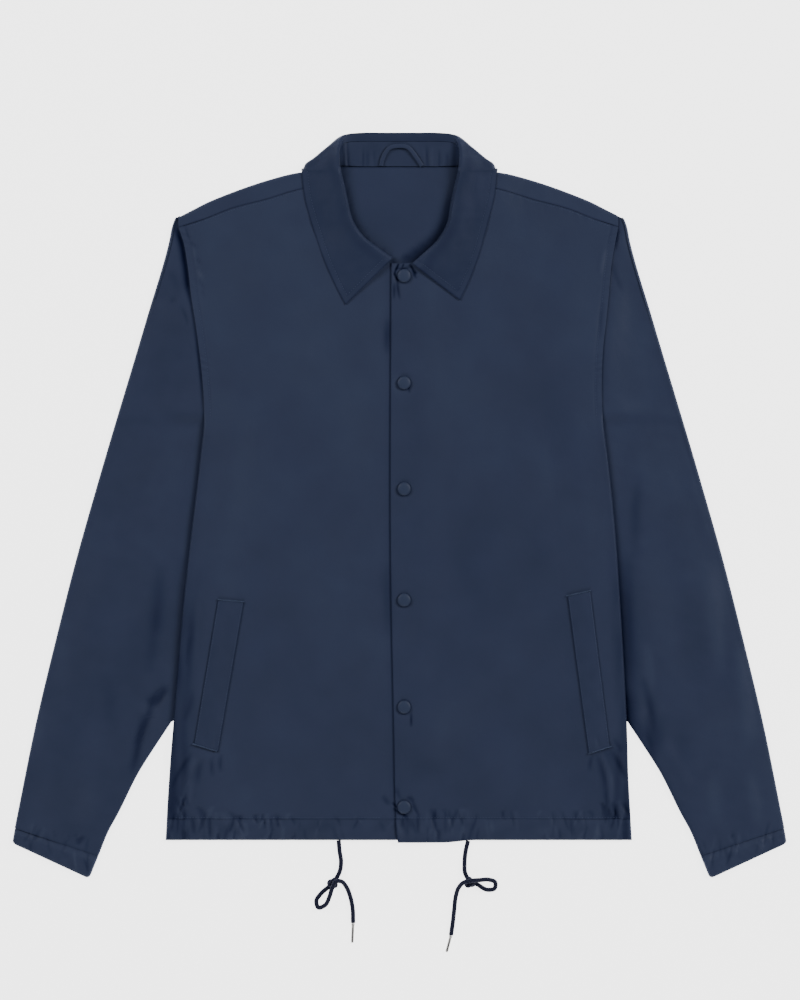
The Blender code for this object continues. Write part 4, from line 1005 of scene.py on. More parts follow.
def casing_front_grids(side):
    """A front's hem casing: a crowned strip, rounded under at the hem, with uneven gathers over its cord."""
    radius = (BODY_THICK - SEAM) / 2
    tall = CASING_Y - HEM_Y
    hem = HEM_Y + HEM_ROUND * (1 - np.sin(np.linspace(0.0, np.pi / 2, LIP_STEPS)))
    flat = CASING_Y - np.linspace(0.0, 1.0, CASING_ROWS) ** 1.3 * (tall - HEM_ROUND)
    y = np.concatenate([[CASING_Y + 0.0006], flat, hem[1:]])
    reach = side_x(y, side)[:, None]
    turn = radius * quarter(TURN_STEPS)
    flat_end = reach - turn[-1]
    closing = closing_at(y)[:, None] if side > 0 else -UNDERLAP_X
    across = flat_end + (closing - flat_end) * np.linspace(0.0, 1.0, CASING_COLUMNS)[1:]
    x = np.concatenate([reach - turn, across], axis=1) * side
    up = np.clip((y - HEM_Y) / HEM_ROUND, 0.0, 1.0)
    drop = (HEM_ROUND * (1 - np.sqrt(1 - (1 - up) ** 2)))[:, None]
    y = y[:, None] + np.zeros_like(x)
    down = CASING_Y - y
    if side > 0:
        y = y - 0.0026 * (1 - step(x, 0.045, 0.080)) * step(down, 0.0, tall)
    base = turned(x, y, front_height(x, y, side), side, radius, -1) - 0.0002
    plain = at_points(x, y, base - 0.55 * drop)
    wave = puckers(x + 0.35 * down, down, "casing_top") + puckers(x - 0.5 * down, tall - down, "casing_foot")
    busy = 0.30 + 0.70 * step(np.abs(x), 0.10, 0.16) + 0.7 * bell(x - 0.040, 0.040)
    crown = 0.0005 * np.sin(np.pi * np.clip(down / tall, 0.0, 1.0)) ** 0.7
    fine = crown + 0.35 * busy * wave + hem_gathers(x, y, side) + waves(x, y, "casing")
    away = step(side_x(y, side) - np.abs(x), 0.0, radius * 1.5)
    if side < 0:
        away = away * (1 - step(x, CLOSING_X - 0.020, CLOSING_X - 0.004))
    fine = np.clip(fine, -DEEPEST, 0.0016) * away - 0.45 * drop
    return raised(plain, fine), behind(plain, side * WALL, rounded=True)


def casing_tone(x, y, side):
    """How light a casing looks: uneven at random, with painted shade in its gathers, at its seam, at the rounded hem,
    towards its side and along the closing edge, and painted highlight on the gathers' ridges.
    """
    tone = 1.02 + waves(x, y, "casing_tone") + crease_shading(hem_gathers(x, y, side), FULL_GATHER, GATHER_SHADE, 0.5)
    # Painted shade at the casing seam, at the rounded hem and towards the side where the casing rounds away
    tone -= 0.05 * bell(y - CASING_Y, 0.0012) + 0.12 * bell(y - HEM_Y, 0.0014)
    tone -= (0.18 if side < 0 else 0.12) * bell(side_x(y, side) - np.abs(x), 0.024)
    # Painted shade along the closing edge
    line = x - closing_at(y)
    return tone - 0.40 * (bell(line, 0.0009) if side > 0 else bell(line + 0.0008, 0.0011))


def casing_back_grid():
    """The back's hem casing, flat where it rests and turned up at both sides."""
    radius = (BODY_THICK - SEAM) / 2
    turn = radius * quarter(TURN_STEPS)
    y = np.linspace(CASING_Y, HEM_Y, CASING_BACK_ROWS)
    made = []
    for side in (-1, 1):
        reach = side_x(y, side)[:, None]
        flat = (reach - turn[-1]) * np.linspace(0.0, 1.0, CASING_BACK_COLUMNS)[:-1]
        made.append(np.concatenate([flat, (reach - turn)[:, ::-1]], axis=1) * side)
    x = np.concatenate([made[0][:, ::-1], made[1][:, 1:]], axis=1)
    y = y[:, None] + np.zeros_like(x)
    return at_points(x, y, np.where(x < 0, turned(x, y, 0.0, -1, radius, 1), turned(x, y, 0.0, 1, radius, 1)))


def sleeve_grids(side):
    """A sleeve: from its inner edge over the top, round the outer fold's half circle, and back underneath.

    The inner edge follows the armhole, then runs tucked under the body's side, then free down to the cuff.
    """
    down = np.linspace(0.0, 1.0, SLEEVE_ROWS)[1:]
    inner_y, outer_y = (
        np.concatenate([np.linspace(top, UNDERARM_Y, ARMHOLE_ROWS), UNDERARM_Y + down * (end - UNDERARM_Y)])
        for top, end in ((SLEEVE_TOP_Y, SLEEVE_END_INNER_Y), (SLEEVE_OUTER[0].y, SLEEVE_END_OUTER_Y))
    )
    tucked = np.clip((UNDERARM_Y - 0.010 - inner_y) / (UNDERARM_Y - 0.010 - SLEEVE_CLEAR_Y), 0.0, 1.0)
    hidden = side_x(inner_y, side) + LAY - ARMHOLE_LAP - TUCK_DEPTH * np.sin(np.pi * tucked) ** 0.7
    inner_x = np.where(inner_y > SLEEVE_CLEAR_Y, hidden, read(SLEEVE_INNER, "y", "x", inner_y))
    inner_x += 0.0012 * step(inner_y, 0.270, SLEEVE_TOP_Y)
    inner = np.stack([inner_x, inner_y], axis=-1)
    outer = np.stack([read(SLEEVE_OUTER, "y", "x", outer_y), outer_y], axis=-1)
    width = np.linalg.norm(outer - inner, axis=-1)[:, None]
    closed = 1 - step(inner_y, UNDERARM_Y - 0.014, UNDERARM_Y + 0.004)[:, None]
    visible = step(-inner_y, -SLEEVE_CLEAR_Y - 0.010, -SLEEVE_CLEAR_Y + 0.050)[:, None]
    tuck_thick = TUCK_THICK + (SLEEVE_THICK - 0.0006 - TUCK_THICK) * visible
    armhole_z = BODY_THICK - WALL - 0.0001 + under_body(side_x(inner_y, side), inner_y)[:, None]
    edge_thick = tuck_thick * closed + armhole_z * (1 - closed)
    edge_turn = np.linspace(np.pi / 2, 0.0, LIP_STEPS)
    edge_round = (edge_thick - SEAM) / 2
    fold_round = SLEEVE_THICK / 2
    shares = np.linspace(0.0, 1.0, SLEEVE_COLUMNS)[1:-1]
    span = width - edge_round - fold_round
    edge_out = edge_round * (1 - np.sin(edge_turn))
    edge_up = closed * edge_round * (1 - np.cos(edge_turn))
    upper = np.concatenate([edge_out, edge_round + shares * span], axis=1)
    rise = step(upper, 0.020, 0.050) * (1 - 0.35 * closed * (1 - visible))
    upper_z = edge_thick + (SLEEVE_THICK - edge_thick) * rise
    upper_z[:, :LIP_STEPS] = edge_thick - edge_up
    fold_turn = np.linspace(0.0, np.pi, SLEEVE_FOLD_COLUMNS)
    around = width - fold_round + fold_round * np.sin(fold_turn)
    around_z = fold_round * (1 + np.cos(fold_turn)) + np.zeros_like(around)
    lower = np.concatenate([edge_round + shares[::-3] * span, edge_out[:, ::-1]], axis=1)
    lower_z = np.zeros_like(lower)
    lower_z[:, -LIP_STEPS:] = edge_up[:, ::-1]
    out = np.concatenate([upper, around, lower], axis=1)
    z = np.concatenate([upper_z, around_z, lower_z], axis=1)
    plan = inner[:, None] + (outer - inner)[:, None] * (out / width)[..., None]
    x, y = plan[..., 0], plan[..., 1]
    on_top = (np.arange(z.shape[1]) < upper.shape[1]).astype(float)
    z = z + step(out, 0.010, 0.030) * on_top * fold_sum(x, y, SLEEVE_FOLDS)
    plain = at_points(side * x, y, z)
    past = x - side_x(y, side)
    beside = np.where(y > SLEEVE_CLEAR_Y, step(past, -0.001, 0.008), 1.0)
    open_air = np.where(y > UNDERARM_Y, step(past, 0.0, 0.002), beside)
    shown = on_top * open_air * step(width - out, 0.0, 0.010)
    return raised(plain, shown * sleeve_relief(x, y, past, side)), behind(plain, -side * WALL, rounded=True)


def sleeve_relief(x, y, past, side):
    """Fine relief of a sleeve's upper side, in the left one's place: long soft waves, creases and seam puckers."""
    seed = SLEEVE_SEEDS[side]
    height = waves(x * SLEEVE_SLANT[0] + y * SLEEVE_SLANT[1], y, "sleeve_long", seed) + waves(x, y, "sleeve", seed)
    height += crease_sum(x, y, SLEEVE_CREASES_LEFT if side > 0 else SLEEVE_CREASES_RIGHT)
    armhole = step(y, UNDERARM_Y - 0.005, UNDERARM_Y + 0.015)
    height += armhole * (puckers(y, past, "sleeve_armhole", seed) - 0.0007 * bell(past, 0.0045))
    end = end_gap(x, y)
    height += puckers(x, end, "sleeve_end", seed) + cuff_gathers(x, end, side)
    return np.maximum(height, -0.0017)


def cuff_gathers(x, end, side):
    """Short gathers across the cuff seam, by the distance above it."""
    return crease_sum(x, end, scattered(CUFF_SPANS, CUFF_GATHER_SEEDS[side]))


def end_gap(x, y):
    """Distance above the seam between sleeve and cuff."""
    seam = np.array(CUFF_TOP_OUTER) - CUFF_TOP_INNER
    seam /= np.hypot(*seam)
    return (x - CUFF_TOP_INNER[0]) * -seam[1] + (y - CUFF_TOP_INNER[1]) * seam[0]


def sleeve_tone(x, y, side):
    """How light a sleeve looks: uneven at random, with painted shadow of the body along the armhole and the tucked
    edge, painted shade along the left sleeve's lower inner edge, in creases and gathers and at the cuff seam, and
    painted highlight on ridges and down the outer forearm.
    """
    past = x - side_x(y, side)
    seed = SLEEVE_TONE_SEEDS[side]
    slanted = x * SLEEVE_SLANT[0] + y * SLEEVE_SLANT[1]
    tone = 1.0 + waves(slanted, y, "sleeve_long_tone", seed) + waves(x, y, "sleeve_tone", seed)
    # Painted shade in crease troughs, painted highlight on their ridges
    creases = [
        crease._replace(height=crease.height * min(1.0, 0.005 / crease.width))
        for crease in (SLEEVE_CREASES_LEFT if side > 0 else SLEEVE_CREASES_RIGHT)
    ]
    tone += crease_shading(crease_sum(x, y, creases), 0.0010, SLEEVE_CREASE_SHADE, 0.30)
    # Painted shadow of the body along the armhole and beside the tucked edge, and painted shade along the lower inner
    # edge
    armhole = step(y, UNDERARM_Y - 0.01, UNDERARM_Y + 0.015)
    tucked = (1 - armhole) * step(y, SLEEVE_CLEAR_Y - 0.03, SLEEVE_CLEAR_Y)
    low = step(-y, 0.02, 0.10)
    if side < 0:
        high = step(y, 0.205, 0.235)
        deep = 0.40 + 0.46 * high * (1 - step(y, 0.282, 0.298)) + 0.25 * bell(y - 0.145, 0.030)
        tone -= armhole * deep * bell(past - 0.0014 - 0.0012 * high, 0.0019 + 0.0019 * high)
        tone -= tucked * (0.30 * bell(past, 0.0022) + 0.10 * low * bell(past, 0.0075))
    else:
        tone -= armhole * (0.42 * bell(past - 0.0004, 0.0011) + 0.07 * bell(past, 0.006))
        groove = 0.40 * bell(past, 0.0070) + 0.10 * bell(past, 0.022)
        tone -= tucked * (0.30 * bell(past, 0.0022) + low * groove)
        rim = x - read(SLEEVE_INNER, "y", "x", y)
        wedge = step(-y, 0.185, 0.215) * (1 - step(-y, 0.240, 0.272))
        tone -= 0.26 * wedge * (1 - step(rim, 0.006, 0.019)) + 0.22 * step(-y, 0.215, 0.235) * bell(rim, 0.0030)
    # Painted highlight down the outer forearm
    outer = read(SLEEVE_OUTER, "y", "x", y) - x
    tone += 0.06 * step(-y, -0.02, 0.10) * bell(outer - 0.020, 0.014)
    # Painted shade in the cuff gathers and at the cuff seam
    end = end_gap(x, y)
    return tone + crease_shading(cuff_gathers(x, end, side), FULL_GATHER, GATHER_SHADE, 0.5) - 0.12 * bell(end, 0.0011)


def cuff_grids(side):
    """A flattened tube: across its top, round one edge, back underneath and round the other, with top gathers.

    It starts thinner, inside the sleeve's end, and its last corners are drawn in.
    """
    across = np.linspace(0.0, 1.0, CUFF_COLUMNS)
    turn = np.linspace(0.0, np.pi, CUFF_TURN_COLUMNS)[1:-1]
    under = np.linspace(1.0, 0.0, CUFF_UNDER_COLUMNS)
    fade = np.minimum(step(across, 0.0, 0.06), step(1 - across, 0.0, 0.06))
    rows, plain = [], []
    for part in np.linspace(-0.14, 1.0, CUFF_ROWS):
        inner = np.array(CUFF_TOP_INNER) * (1 - part) + np.array(CUFF_END_INNER) * part
        outer = np.array(CUFF_TOP_OUTER) * (1 - part) + np.array(CUFF_END_OUTER) * part
        run = (outer - inner) / np.hypot(*(outer - inner))
        corner = 0.0026 * (1 - np.sqrt(1 - max(0.0, (part - 0.80) / 0.20) ** 2))
        drawn = corner + 0.0012 * (1 - step(part, -0.14, 0.05))
        inner, outer = inner + run * drawn, outer - run * drawn
        thick = CUFF_START + (CUFF_THICK - CUFF_START) * step(part, -0.10, 0.35) - 0.0014 * step(part, 0.90, 1.0)
        radius = thick / 2
        width = np.hypot(*(outer - inner))
        out = np.concatenate([
            radius + across * (width - 2 * radius), width - radius + radius * np.sin(turn),
            radius + under * (width - 2 * radius), radius - radius * np.sin(turn),
        ])
        base = np.concatenate([
            np.full(CUFF_COLUMNS, thick), radius * (1 + np.cos(turn)),
            np.zeros(CUFF_UNDER_COLUMNS), radius * (1 - np.cos(turn)),
        ])
        plan = inner + (outer - inner) * (out / width)[:, None]
        x, y = plan[:CUFF_COLUMNS].T
        wave = cuff_gathers(x, end_gap(x, y), side) + waves(x, y, "cuff")
        fine = np.zeros_like(base)
        fine[:CUFF_COLUMNS] = np.clip(wave, -0.0007, 0.0010) * fade
        rows.append(np.column_stack([plan * (side, 1.0), base + fine]))
        plain.append(np.column_stack([plan * (side, 1.0), base]))
    return np.array(rows), behind(np.array(plain), -side * CUFF_WALL, ring=True)


def cuff_tone(x, y, side):
    """How light a cuff looks: uneven at random, with painted shade in its gathers and a thin painted dark line at its
    seam, and painted highlight on the gathers' ridges.
    """
    end = end_gap(x, y)
    tone = 1.05 + waves(x, y, "cuff_tone") + crease_shading(cuff_gathers(x, end, side), FULL_GATHER, GATHER_SHADE, 0.5)
    return tone - 0.15 * bell(end, 0.0011)


def collar_sections():
    """The collar's sections from the right front edge round the back to the left front edge.

    The left front's leaf differs from the right one's mirror by its point and its roll's start, less and less over
    four sections.
    """
    middle = COLLAR_RIGHT[-1]._replace(seam_x=0.0, roll_x=0.0, over_x=0.0, edge_x=0.0)
    first = COLLAR_RIGHT[0]
    point = np.array(COLLAR_LEFT_POINT) - (first.edge_x, first.edge_y)
    start = np.array(COLLAR_LEFT_ROLL) - (first.roll_x, first.roll_y)
    left = []
    for i, section in enumerate(COLLAR_RIGHT):
        near = max(0.0, 1.0 - i / 4.0)
        moves = {
            "edge_x": point[0], "edge_y": point[1], "over_x": (point[0] + start[0]) / 2,
            "over_y": (point[1] + start[1]) / 2, "roll_x": start[0], "roll_y": start[1], "seam_x": start[0],
        }
        left.append(section._replace(**{name: getattr(section, name) + move * near for name, move in moves.items()}))
    return [(-1, section) for section in (*COLLAR_RIGHT, middle)] + [(1, section) for section in left[::-1]]


def stand_top(side, section):
    """Where the stand meets the collar, just short of the roll, and its height there."""
    seam = np.array([section.seam_x, section.seam_y])
    roll = np.array([section.roll_x, section.roll_y])
    far = np.hypot(*(seam - roll))
    height = min(section.roll_z - 0.0008, STAND_HIGH) if section.wrap else FRONT_STAND_Z
    height = height + (0.0 if section.wrap else float(ride(np.array(side * section.seam_x), side)))
    return roll + (seam - roll) / far * min(STAND_SHORT, far / 2), height


def collar_marks(rows):
    """The collar's leading points, densely along it: start, roll, outline and free edge, and how far it wraps."""
    marks = []
    for side, section in collar_sections():
        edge = np.array([section.edge_x, section.edge_y])
        start, start_z = stand_top(side, section)
        outline = (section.over_x, section.over_y) if section.wrap == 1.0 else edge
        if section.wrap == 0.0:
            at = np.array([side * edge[0]]), np.array([edge[1]])
            low = float(front_height(*at, side)[0]) + LEAF_REST
            outline_z = low
        else:
            low = HANG_Z * (1 - section.wrap)
            outline_z = min(section.roll_z, 0.0088)
        marks.append((
            side * start[0], start[1], start_z, side * section.roll_x, section.roll_y, section.roll_z,
            side * outline[0], outline[1], outline_z, side * edge[0], edge[1], low, section.wrap,
        ))
    marks = curve_at(np.arange(len(marks)), marks, np.linspace(0.0, len(marks) - 1.0, rows))
    return marks[:, 0:3], marks[:, 3:6], marks[:, 6:9], marks[:, 9:12], np.clip(marks[:, 12:], 0.0, 1.0)


def collar_plain():
    """The collar without relief: from the stand round the roll, out to its outline, and down to its free edge.

    The leaf's fall is a table of shares. Where the leaf wraps, its outline is a half circle and the rest lies behind.
    """
    start, roll, outline, edge, wrap = collar_marks(COLLAR_ROWS)
    lead = (outline - roll) * (1.0, 1.0, 0.0)
    lead /= np.linalg.norm(lead, axis=1, keepdims=True)
    crest = roll + lead * ROLL_ROUND
    near = (roll + lead * 0.0012) * (1 - wrap) + (roll + (start - roll) * 0.35) * wrap
    near[:, 2:] = start[:, 2:] + 0.0004 * (1 - wrap) + (roll - start)[:, 2:] * 0.65 * wrap
    bend = roll.copy()
    bend[:, 2:] = (start + roll)[:, 2:] / 2 * (1 - wrap) + (roll[:, 2:] - 0.0002) * wrap
    inside = np.stack([start, near, bend, crest])
    inside = np.swapaxes(curve_at(np.arange(4), inside, np.linspace(0.0, 3.0, COLLAR_INSIDE_COLUMNS)), 0, 1)
    share = np.linspace(0.0, 1.0, LEAF_COLUMNS)[1:]
    shown = 1 - 0.45 * step(wrap, 0.0, 1.0)
    out = np.clip(share / shown, 0.0, 1.0)
    hidden = np.clip((share - shown) / np.maximum(1 - shown, 1e-9), 0.0, 1.0)
    leaf = crest[:, None] + (outline - crest)[:, None] * out[..., None]
    leaf += (edge - outline)[:, None] * hidden[..., None]
    half = np.minimum(roll[:, 2:], 0.0088) / 2
    length = np.linalg.norm((outline - crest)[:, :2], axis=1, keepdims=True)
    near_edge = 1 - np.clip((1 - out) * length / half, 0.0, 1.0)
    fall = read(LEAF_FALL, "share", "fall", out)
    top = crest[:, 2:] + (outline - crest)[:, 2:] * fall - wrap * half * (1 - np.sqrt(1 - near_edge**2))
    under = np.linalg.norm((edge - outline)[:, :2], axis=1, keepdims=True)
    past = 1 - np.clip(hidden * np.maximum(under, half * 0.8) / (half * 0.8), 0.0, 1.0)
    turned_z = edge[:, 2:] + (outline[:, 2:] - half * wrap - edge[:, 2:]) * (1 - np.sqrt(1 - past**2))
    leaf[..., 2] = np.where(hidden > 0, turned_z, top)
    return np.concatenate([inside, leaf], axis=1)


def collar_grids():
    """The collar's outer face, its plain underside, and each point's distance from the stitched edges."""
    plain = collar_plain()
    plain[..., 2] = np.maximum(plain[..., 2], 0.0)
    across, around = lengths(plain, 1), lengths(plain, 0)
    far = np.minimum(across[:, -1:] - across, np.minimum(around, around[-1:] - around))
    x, y = plain[..., 0], plain[..., 1]
    strip = np.clip(far / EDGE_STITCH, 0.0, 1.0)
    fine = waves(x, y, "collar") + 0.00010 * np.sin(np.pi * strip) - 0.00018 * bell(far - EDGE_STITCH, 0.0006)
    fine += puckers(around, far - EDGE_STITCH, "collar") + crease_sum(x, y, COLLAR_CREASES)
    shown = step(across, 0.006, 0.012) * np.where(plain[..., 2] < 0.003, 0.0, 1.0)
    return raised(plain, np.clip(fine, -DEEPEST, 0.001) * shown), behind(plain, -WALL * 0.8), far, across


def collar_tone(top, far, across):
    """How light the collar looks: uneven at random, with painted shade at its edge, its stitched line, below its roll
    and over the wearer's left half, and painted highlight on its roll and on the strip between edge and stitched line.
    """
    x, y = top[..., 0], top[..., 1]
    # Random tone, with painted shade over the wearer's left half
    tone = 0.84 + waves(x, y, "collar_tone") - 0.05 * step(x, 0.0, 0.01)
    # Painted highlight on the strip inside the stitched line and on the roll; painted shade at the edge, the stitched
    # line and below the roll
    tone += 0.05 * (1 - step(far, EDGE_STITCH - 0.001, EDGE_STITCH + 0.0005))
    tone -= 0.10 * bell(far - EDGE_STITCH, 0.0008) + 0.34 * bell(far, 0.0009)
    return tone + 0.08 * bell(across - 0.0100, 0.0022) - 0.10 * bell(across - 0.0170, 0.0055)


def stand_creases(x, y):
    """Upright creases above the back neck seam: a bell across each, fading upwards."""
    up = np.clip((y - 0.3566) / 0.026, 0.0, 1.0)
    height = np.zeros_like(x)
    for crease in STAND_CREASES:
        beside = x - crease.x - crease.lean * up
        height += crease.height * bell(beside, crease.width) * (1 - step(up, 0.35, crease.reach))
    return height


def stand_grids():
    """The stand between the neck seam and the collar, with its gathers at the back of the neck."""
    rows = []
    for side, section in collar_sections():
        seam = np.array([section.seam_x, section.seam_y])
        if not section.wrap:
            seam[1] = max(seam[1], neckline(seam[0]) + 8 * SEAM)
        top, top_z = stand_top(side, section)
        run = top - seam
        run *= 1 - STAND_GAP / np.hypot(*run)
        low = section.seam_z + (0.0 if section.wrap else float(ride(np.array(side * seam[0]), side)))
        top_z = top_z - STAND_UNDER
        plan = np.array([seam + run * share for share in (0.0, 0.5, 1.0)])
        rows.append(np.column_stack([side * plan[:, 0], plan[:, 1], [low, (low + top_z) / 2, top_z]]))
    plain = dense(np.array(rows), STAND_ROWS, STAND_COLUMNS)
    x, y = plain[..., 0], plain[..., 1]
    fine = np.clip(waves(x, y, "stand") + stand_creases(x, y), -DEEPEST, 0.0010)
    return raised(plain, fine * step(y, 0.354, 0.358)), behind(plain, -WALL)


def loop_grids():
    """The hanger loop: a strip through its marks, leaning up off the neck, crowned across its width."""
    marks = np.array(LOOP_MARKS)
    plan = curve_at(np.arange(len(marks)), marks, np.linspace(0.0, len(marks) - 1.0, LOOP_ROWS))
    rise = np.sin(np.pi * np.linspace(0.0, 1.0, LOOP_ROWS))
    path = np.column_stack([plan, 0.0029 + (plan[:, 1] - 0.3560) * 0.09 + WALL + 0.0006 + 0.0008 * rise])
    beside = np.cross(np.gradient(path, axis=0), (0.0, 0.0, 1.0))
    beside /= np.linalg.norm(beside, axis=1, keepdims=True)
    across = np.linspace(-1.0, 1.0, LOOP_COLUMNS)
    flat = path[:, None] + beside[:, None] * (across * LOOP_WIDE / 2)[None, :, None]
    outer = raised(flat, 0.0003 * (1 - np.abs(across) ** 3))
    return outer, outer - (0.0, 0.0, 0.0009)


def stand_tone(x, y):
    """How light the stand looks: uneven at random, with painted shade in its creases and at both ends of the back of
    the neck, and painted highlight on crease ridges.
    """
    tone = 0.95 + waves(x, y, "stand_tone") + crease_shading(stand_creases(x, y), FULL_GATHER, GATHER_SHADE, 0.3)
    return tone - 0.45 * bell(x - 0.0585, 0.0040) - 0.30 * bell(x + 0.0590, 0.0020)


def welt_grids(side):
    """A welt laid on its front: the front's own height, a little higher, crowned and rounded at its edges.

    The third grid is each point's distance from the welt's long edges.
    """
    corners = np.array(WELT_RIGHT if side < 0 else WELT_LEFT)
    along = np.linspace(0.0, 1.0, WELT_ROWS)[:, None, None]
    edge = np.linspace(0.0, 0.06, WELT_EDGE_COLUMNS)
    middle = np.linspace(0.06, 0.94, WELT_COLUMNS)[1:-1]
    across = np.concatenate([edge, middle, 1 - edge[::-1]])[None, :, None]
    top_row = corners[0] + (corners[1] - corners[0]) * across
    low_row = corners[3] + (corners[2] - corners[3]) * across
    plan = top_row * (1 - along) + low_row * along
    x, y = plan[..., 0], plan[..., 1]
    base = front_top(x, y, side) + 2 * SEAM
    rim = np.minimum(across[..., 0], 1 - across[..., 0]) * 0.0262
    high = WELT_HIGH * np.sqrt(np.clip(rim / 0.0012, 0.0, 1.0)) + 0.0002 * step(rim, 0.002, 0.008)
    high = high + waves(x, y, "welt") * step(rim, 0.0, 0.003)
    return at_points(x, y, base + WELT_LIFT + high), at_points(x, y, base), rim


def shader(name, colour, rough, **settings):
    """A new material's node tree and its Principled shader, with constant values on the shader's own sockets."""
    look = bpy.data.materials.new(name)
    look.use_nodes = True
    surface = look.node_tree.nodes["Principled BSDF"]
    surface.inputs["Base Color"].default_value = (*colour, 1.0)
    surface.inputs["Roughness"].default_value = rough
    for socket, value in settings.items():
        surface.inputs[socket.replace("_", " ")].default_value = value
    return look, look.node_tree, surface


def wire(tree, made, inputs):
    """Sets a node's inputs: another node's output is linked, anything else is a constant."""
    for name, value in inputs.items():
        if isinstance(value, bpy.types.NodeSocket):
            tree.links.new(value, made.inputs[name])
        else:
            made.inputs[name].default_value = value


def node(tree, kind, inputs, output=0, **settings):
    """A new node with its settings and inputs. Returns one of its outputs."""
    made = tree.nodes.new("ShaderNode" + kind)
    for name, value in settings.items():
        setattr(made, name, value)
    wire(tree, made, inputs)
    return made.outputs[output]


def placed(tree, kind):
    """The texture coordinates of a kind: Object for the place in space, UV for the place on the cloth."""
    return node(tree, "TexCoord", {}, kind)


def noise(tree, at, scale, detail, rough=0.5):
    """A noise texture's factor at texture coordinates."""
    return node(tree, "TexNoise", {"Vector": at, "Scale": scale, "Detail": detail, "Roughness": rough}, "Fac")


def mapped(tree, value, from_low, from_high, low, high):
    """A value's range turned into another range."""
    inputs = {"Value": value, "From Min": from_low, "From Max": from_high, "To Min": low, "To Max": high}
    return node(tree, "MapRange", inputs, "Result")


def bump(tree, height, strength, distance, before=None):
    """A normal tilted by a height, on top of one made before."""
    inputs = {"Strength": strength, "Distance": distance, "Height": height}
    if before is not None:
        inputs["Normal"] = before
    return node(tree, "Bump", inputs, "Normal")


def nylon(name, seed):
    """Thin navy nylon: a plain weave, fine crumple, uneven tone, a faint sheen, and the piece's tone attribute, which
    holds random tone with painted shade and painted highlight and also dims the specular in painted shade.
    """
    cloth = bpy.context.scene.jacket_cloth
    colour = tuple(cloth.colour)
    look, tree, surface = shader(
        name, colour, cloth.roughness, Sheen_Weight=cloth.sheen, Sheen_Roughness=0.35, Specular_IOR_Level=GLOSS
    )
    offset = {"Vector": placed(tree, "Object"), "Location": (seed * 1.7, seed * 2.3, seed * 0.9)}
    moved = node(tree, "Mapping", offset)
    broad = noise(tree, moved, 16.0, 3.0, 0.55)
    fine = noise(tree, moved, 130.0, 4.0, 0.6)
    # The tone attribute: random tone with painted shade and painted highlight
    own = {"attribute_type": "GEOMETRY", "attribute_name": "tone"}
    toned = node(tree, "VectorMath", {0: colour, 1: node(tree, "Attribute", {}, "Color", **own)}, operation="MULTIPLY")
    scaled_base = {0: toned, "Scale": mapped(tree, broad, 0.3, 0.7, 0.95, 1.05)}
    # Painted shade also dims the specular
    gloss = {0: node(tree, "Attribute", {}, "Fac", **own), 1: GLOSS}
    threads = [
        node(
            tree, "TexWave", {"Vector": placed(tree, "UV"), "Scale": 0.314 / cloth.thread, "Distortion": 0.6}, "Fac",
            bands_direction=way,
        )
        for way in "XY"
    ]
    weave = node(tree, "Math", {0: threads[0], 1: threads[1]}, operation="ADD")
    wire(tree, surface, {
        "Sheen Tint": (0.55, 0.65, 0.85, 1.0),
        "Base Color": node(tree, "VectorMath", scaled_base, operation="SCALE"),
        "Specular IOR Level": node(tree, "Math", gloss, operation="MULTIPLY"),
        "Roughness": mapped(tree, fine, 0.25, 0.75, cloth.roughness - 0.05, cloth.roughness + 0.06),
        "Normal": bump(tree, weave, 0.10, 0.00010, bump(tree, fine, 0.30, 0.0006)),
    })
    return look


def enamel():
    """Navy enamel on a snap cap, with faint mottling."""
    look, tree, surface = shader("snap_enamel", ENAMEL_COLOUR, 0.50, Specular_IOR_Level=0.30)
    wire(tree, surface, {"Normal": bump(tree, noise(tree, placed(tree, "Object"), 900.0, 2.0), 0.08, 0.00005)})
    return look


def braid():
    """Dark round braid: two crossing sets of slanted strands that follow the cord's own length and turn."""
    look, tree, surface = shader("cord_braid", BRAID_COLOUR, 0.75, Specular_IOR_Level=0.15)
    sets = []
    for slant in (1.0, -1.0):
        slanted = {0: placed(tree, "UV"), 1: (4.0, slant * 330.0, 0.0)}
        around = node(tree, "VectorMath", slanted, "Value", operation="DOT_PRODUCT")
        turns = node(tree, "Math", {0: around, 1: 2 * np.pi}, operation="MULTIPLY")
        sets.append(node(tree, "Math", {0: turns}, operation="SINE"))
    strands = node(tree, "Math", {0: sets[0], 1: sets[1]}, operation="MAXIMUM")
    scaled_base = {0: BRAID_COLOUR, "Scale": mapped(tree, strands, -0.4, 1.0, 0.6, 1.5)}
    wire(tree, surface, {
        "Base Color": node(tree, "VectorMath", scaled_base, operation="SCALE"), "Normal": bump(tree, strands, 0.6, 0.0003),
    })
    return look


def tip_metal():
    """Plain nickelled metal with fine scratches along its length."""
    look, tree, surface = shader("tip_nickel", NICKEL_COLOUR, 0.34, Metallic=1.0)
    drawn_out = node(tree, "Mapping", {"Vector": placed(tree, "Object"), "Scale": (2200.0, 260.0, 2200.0)})
    wire(tree, surface, {"Roughness": mapped(tree, noise(tree, drawn_out, 1.0, 3.0), 0.0, 1.0, 0.25, 0.45)})
    return look


def thread():
    """Sewing thread a shade lighter than the cloth, twisted."""
    colour = tuple(bpy.context.scene.jacket_cloth.thread_colour)
    look, tree, surface = shader("sewing_thread", colour, 0.6, Specular_IOR_Level=0.2)
    wire(tree, surface, {"Normal": bump(tree, noise(tree, placed(tree, "Object"), 2600.0, 1.0), 0.2, 0.00005)})
    return look


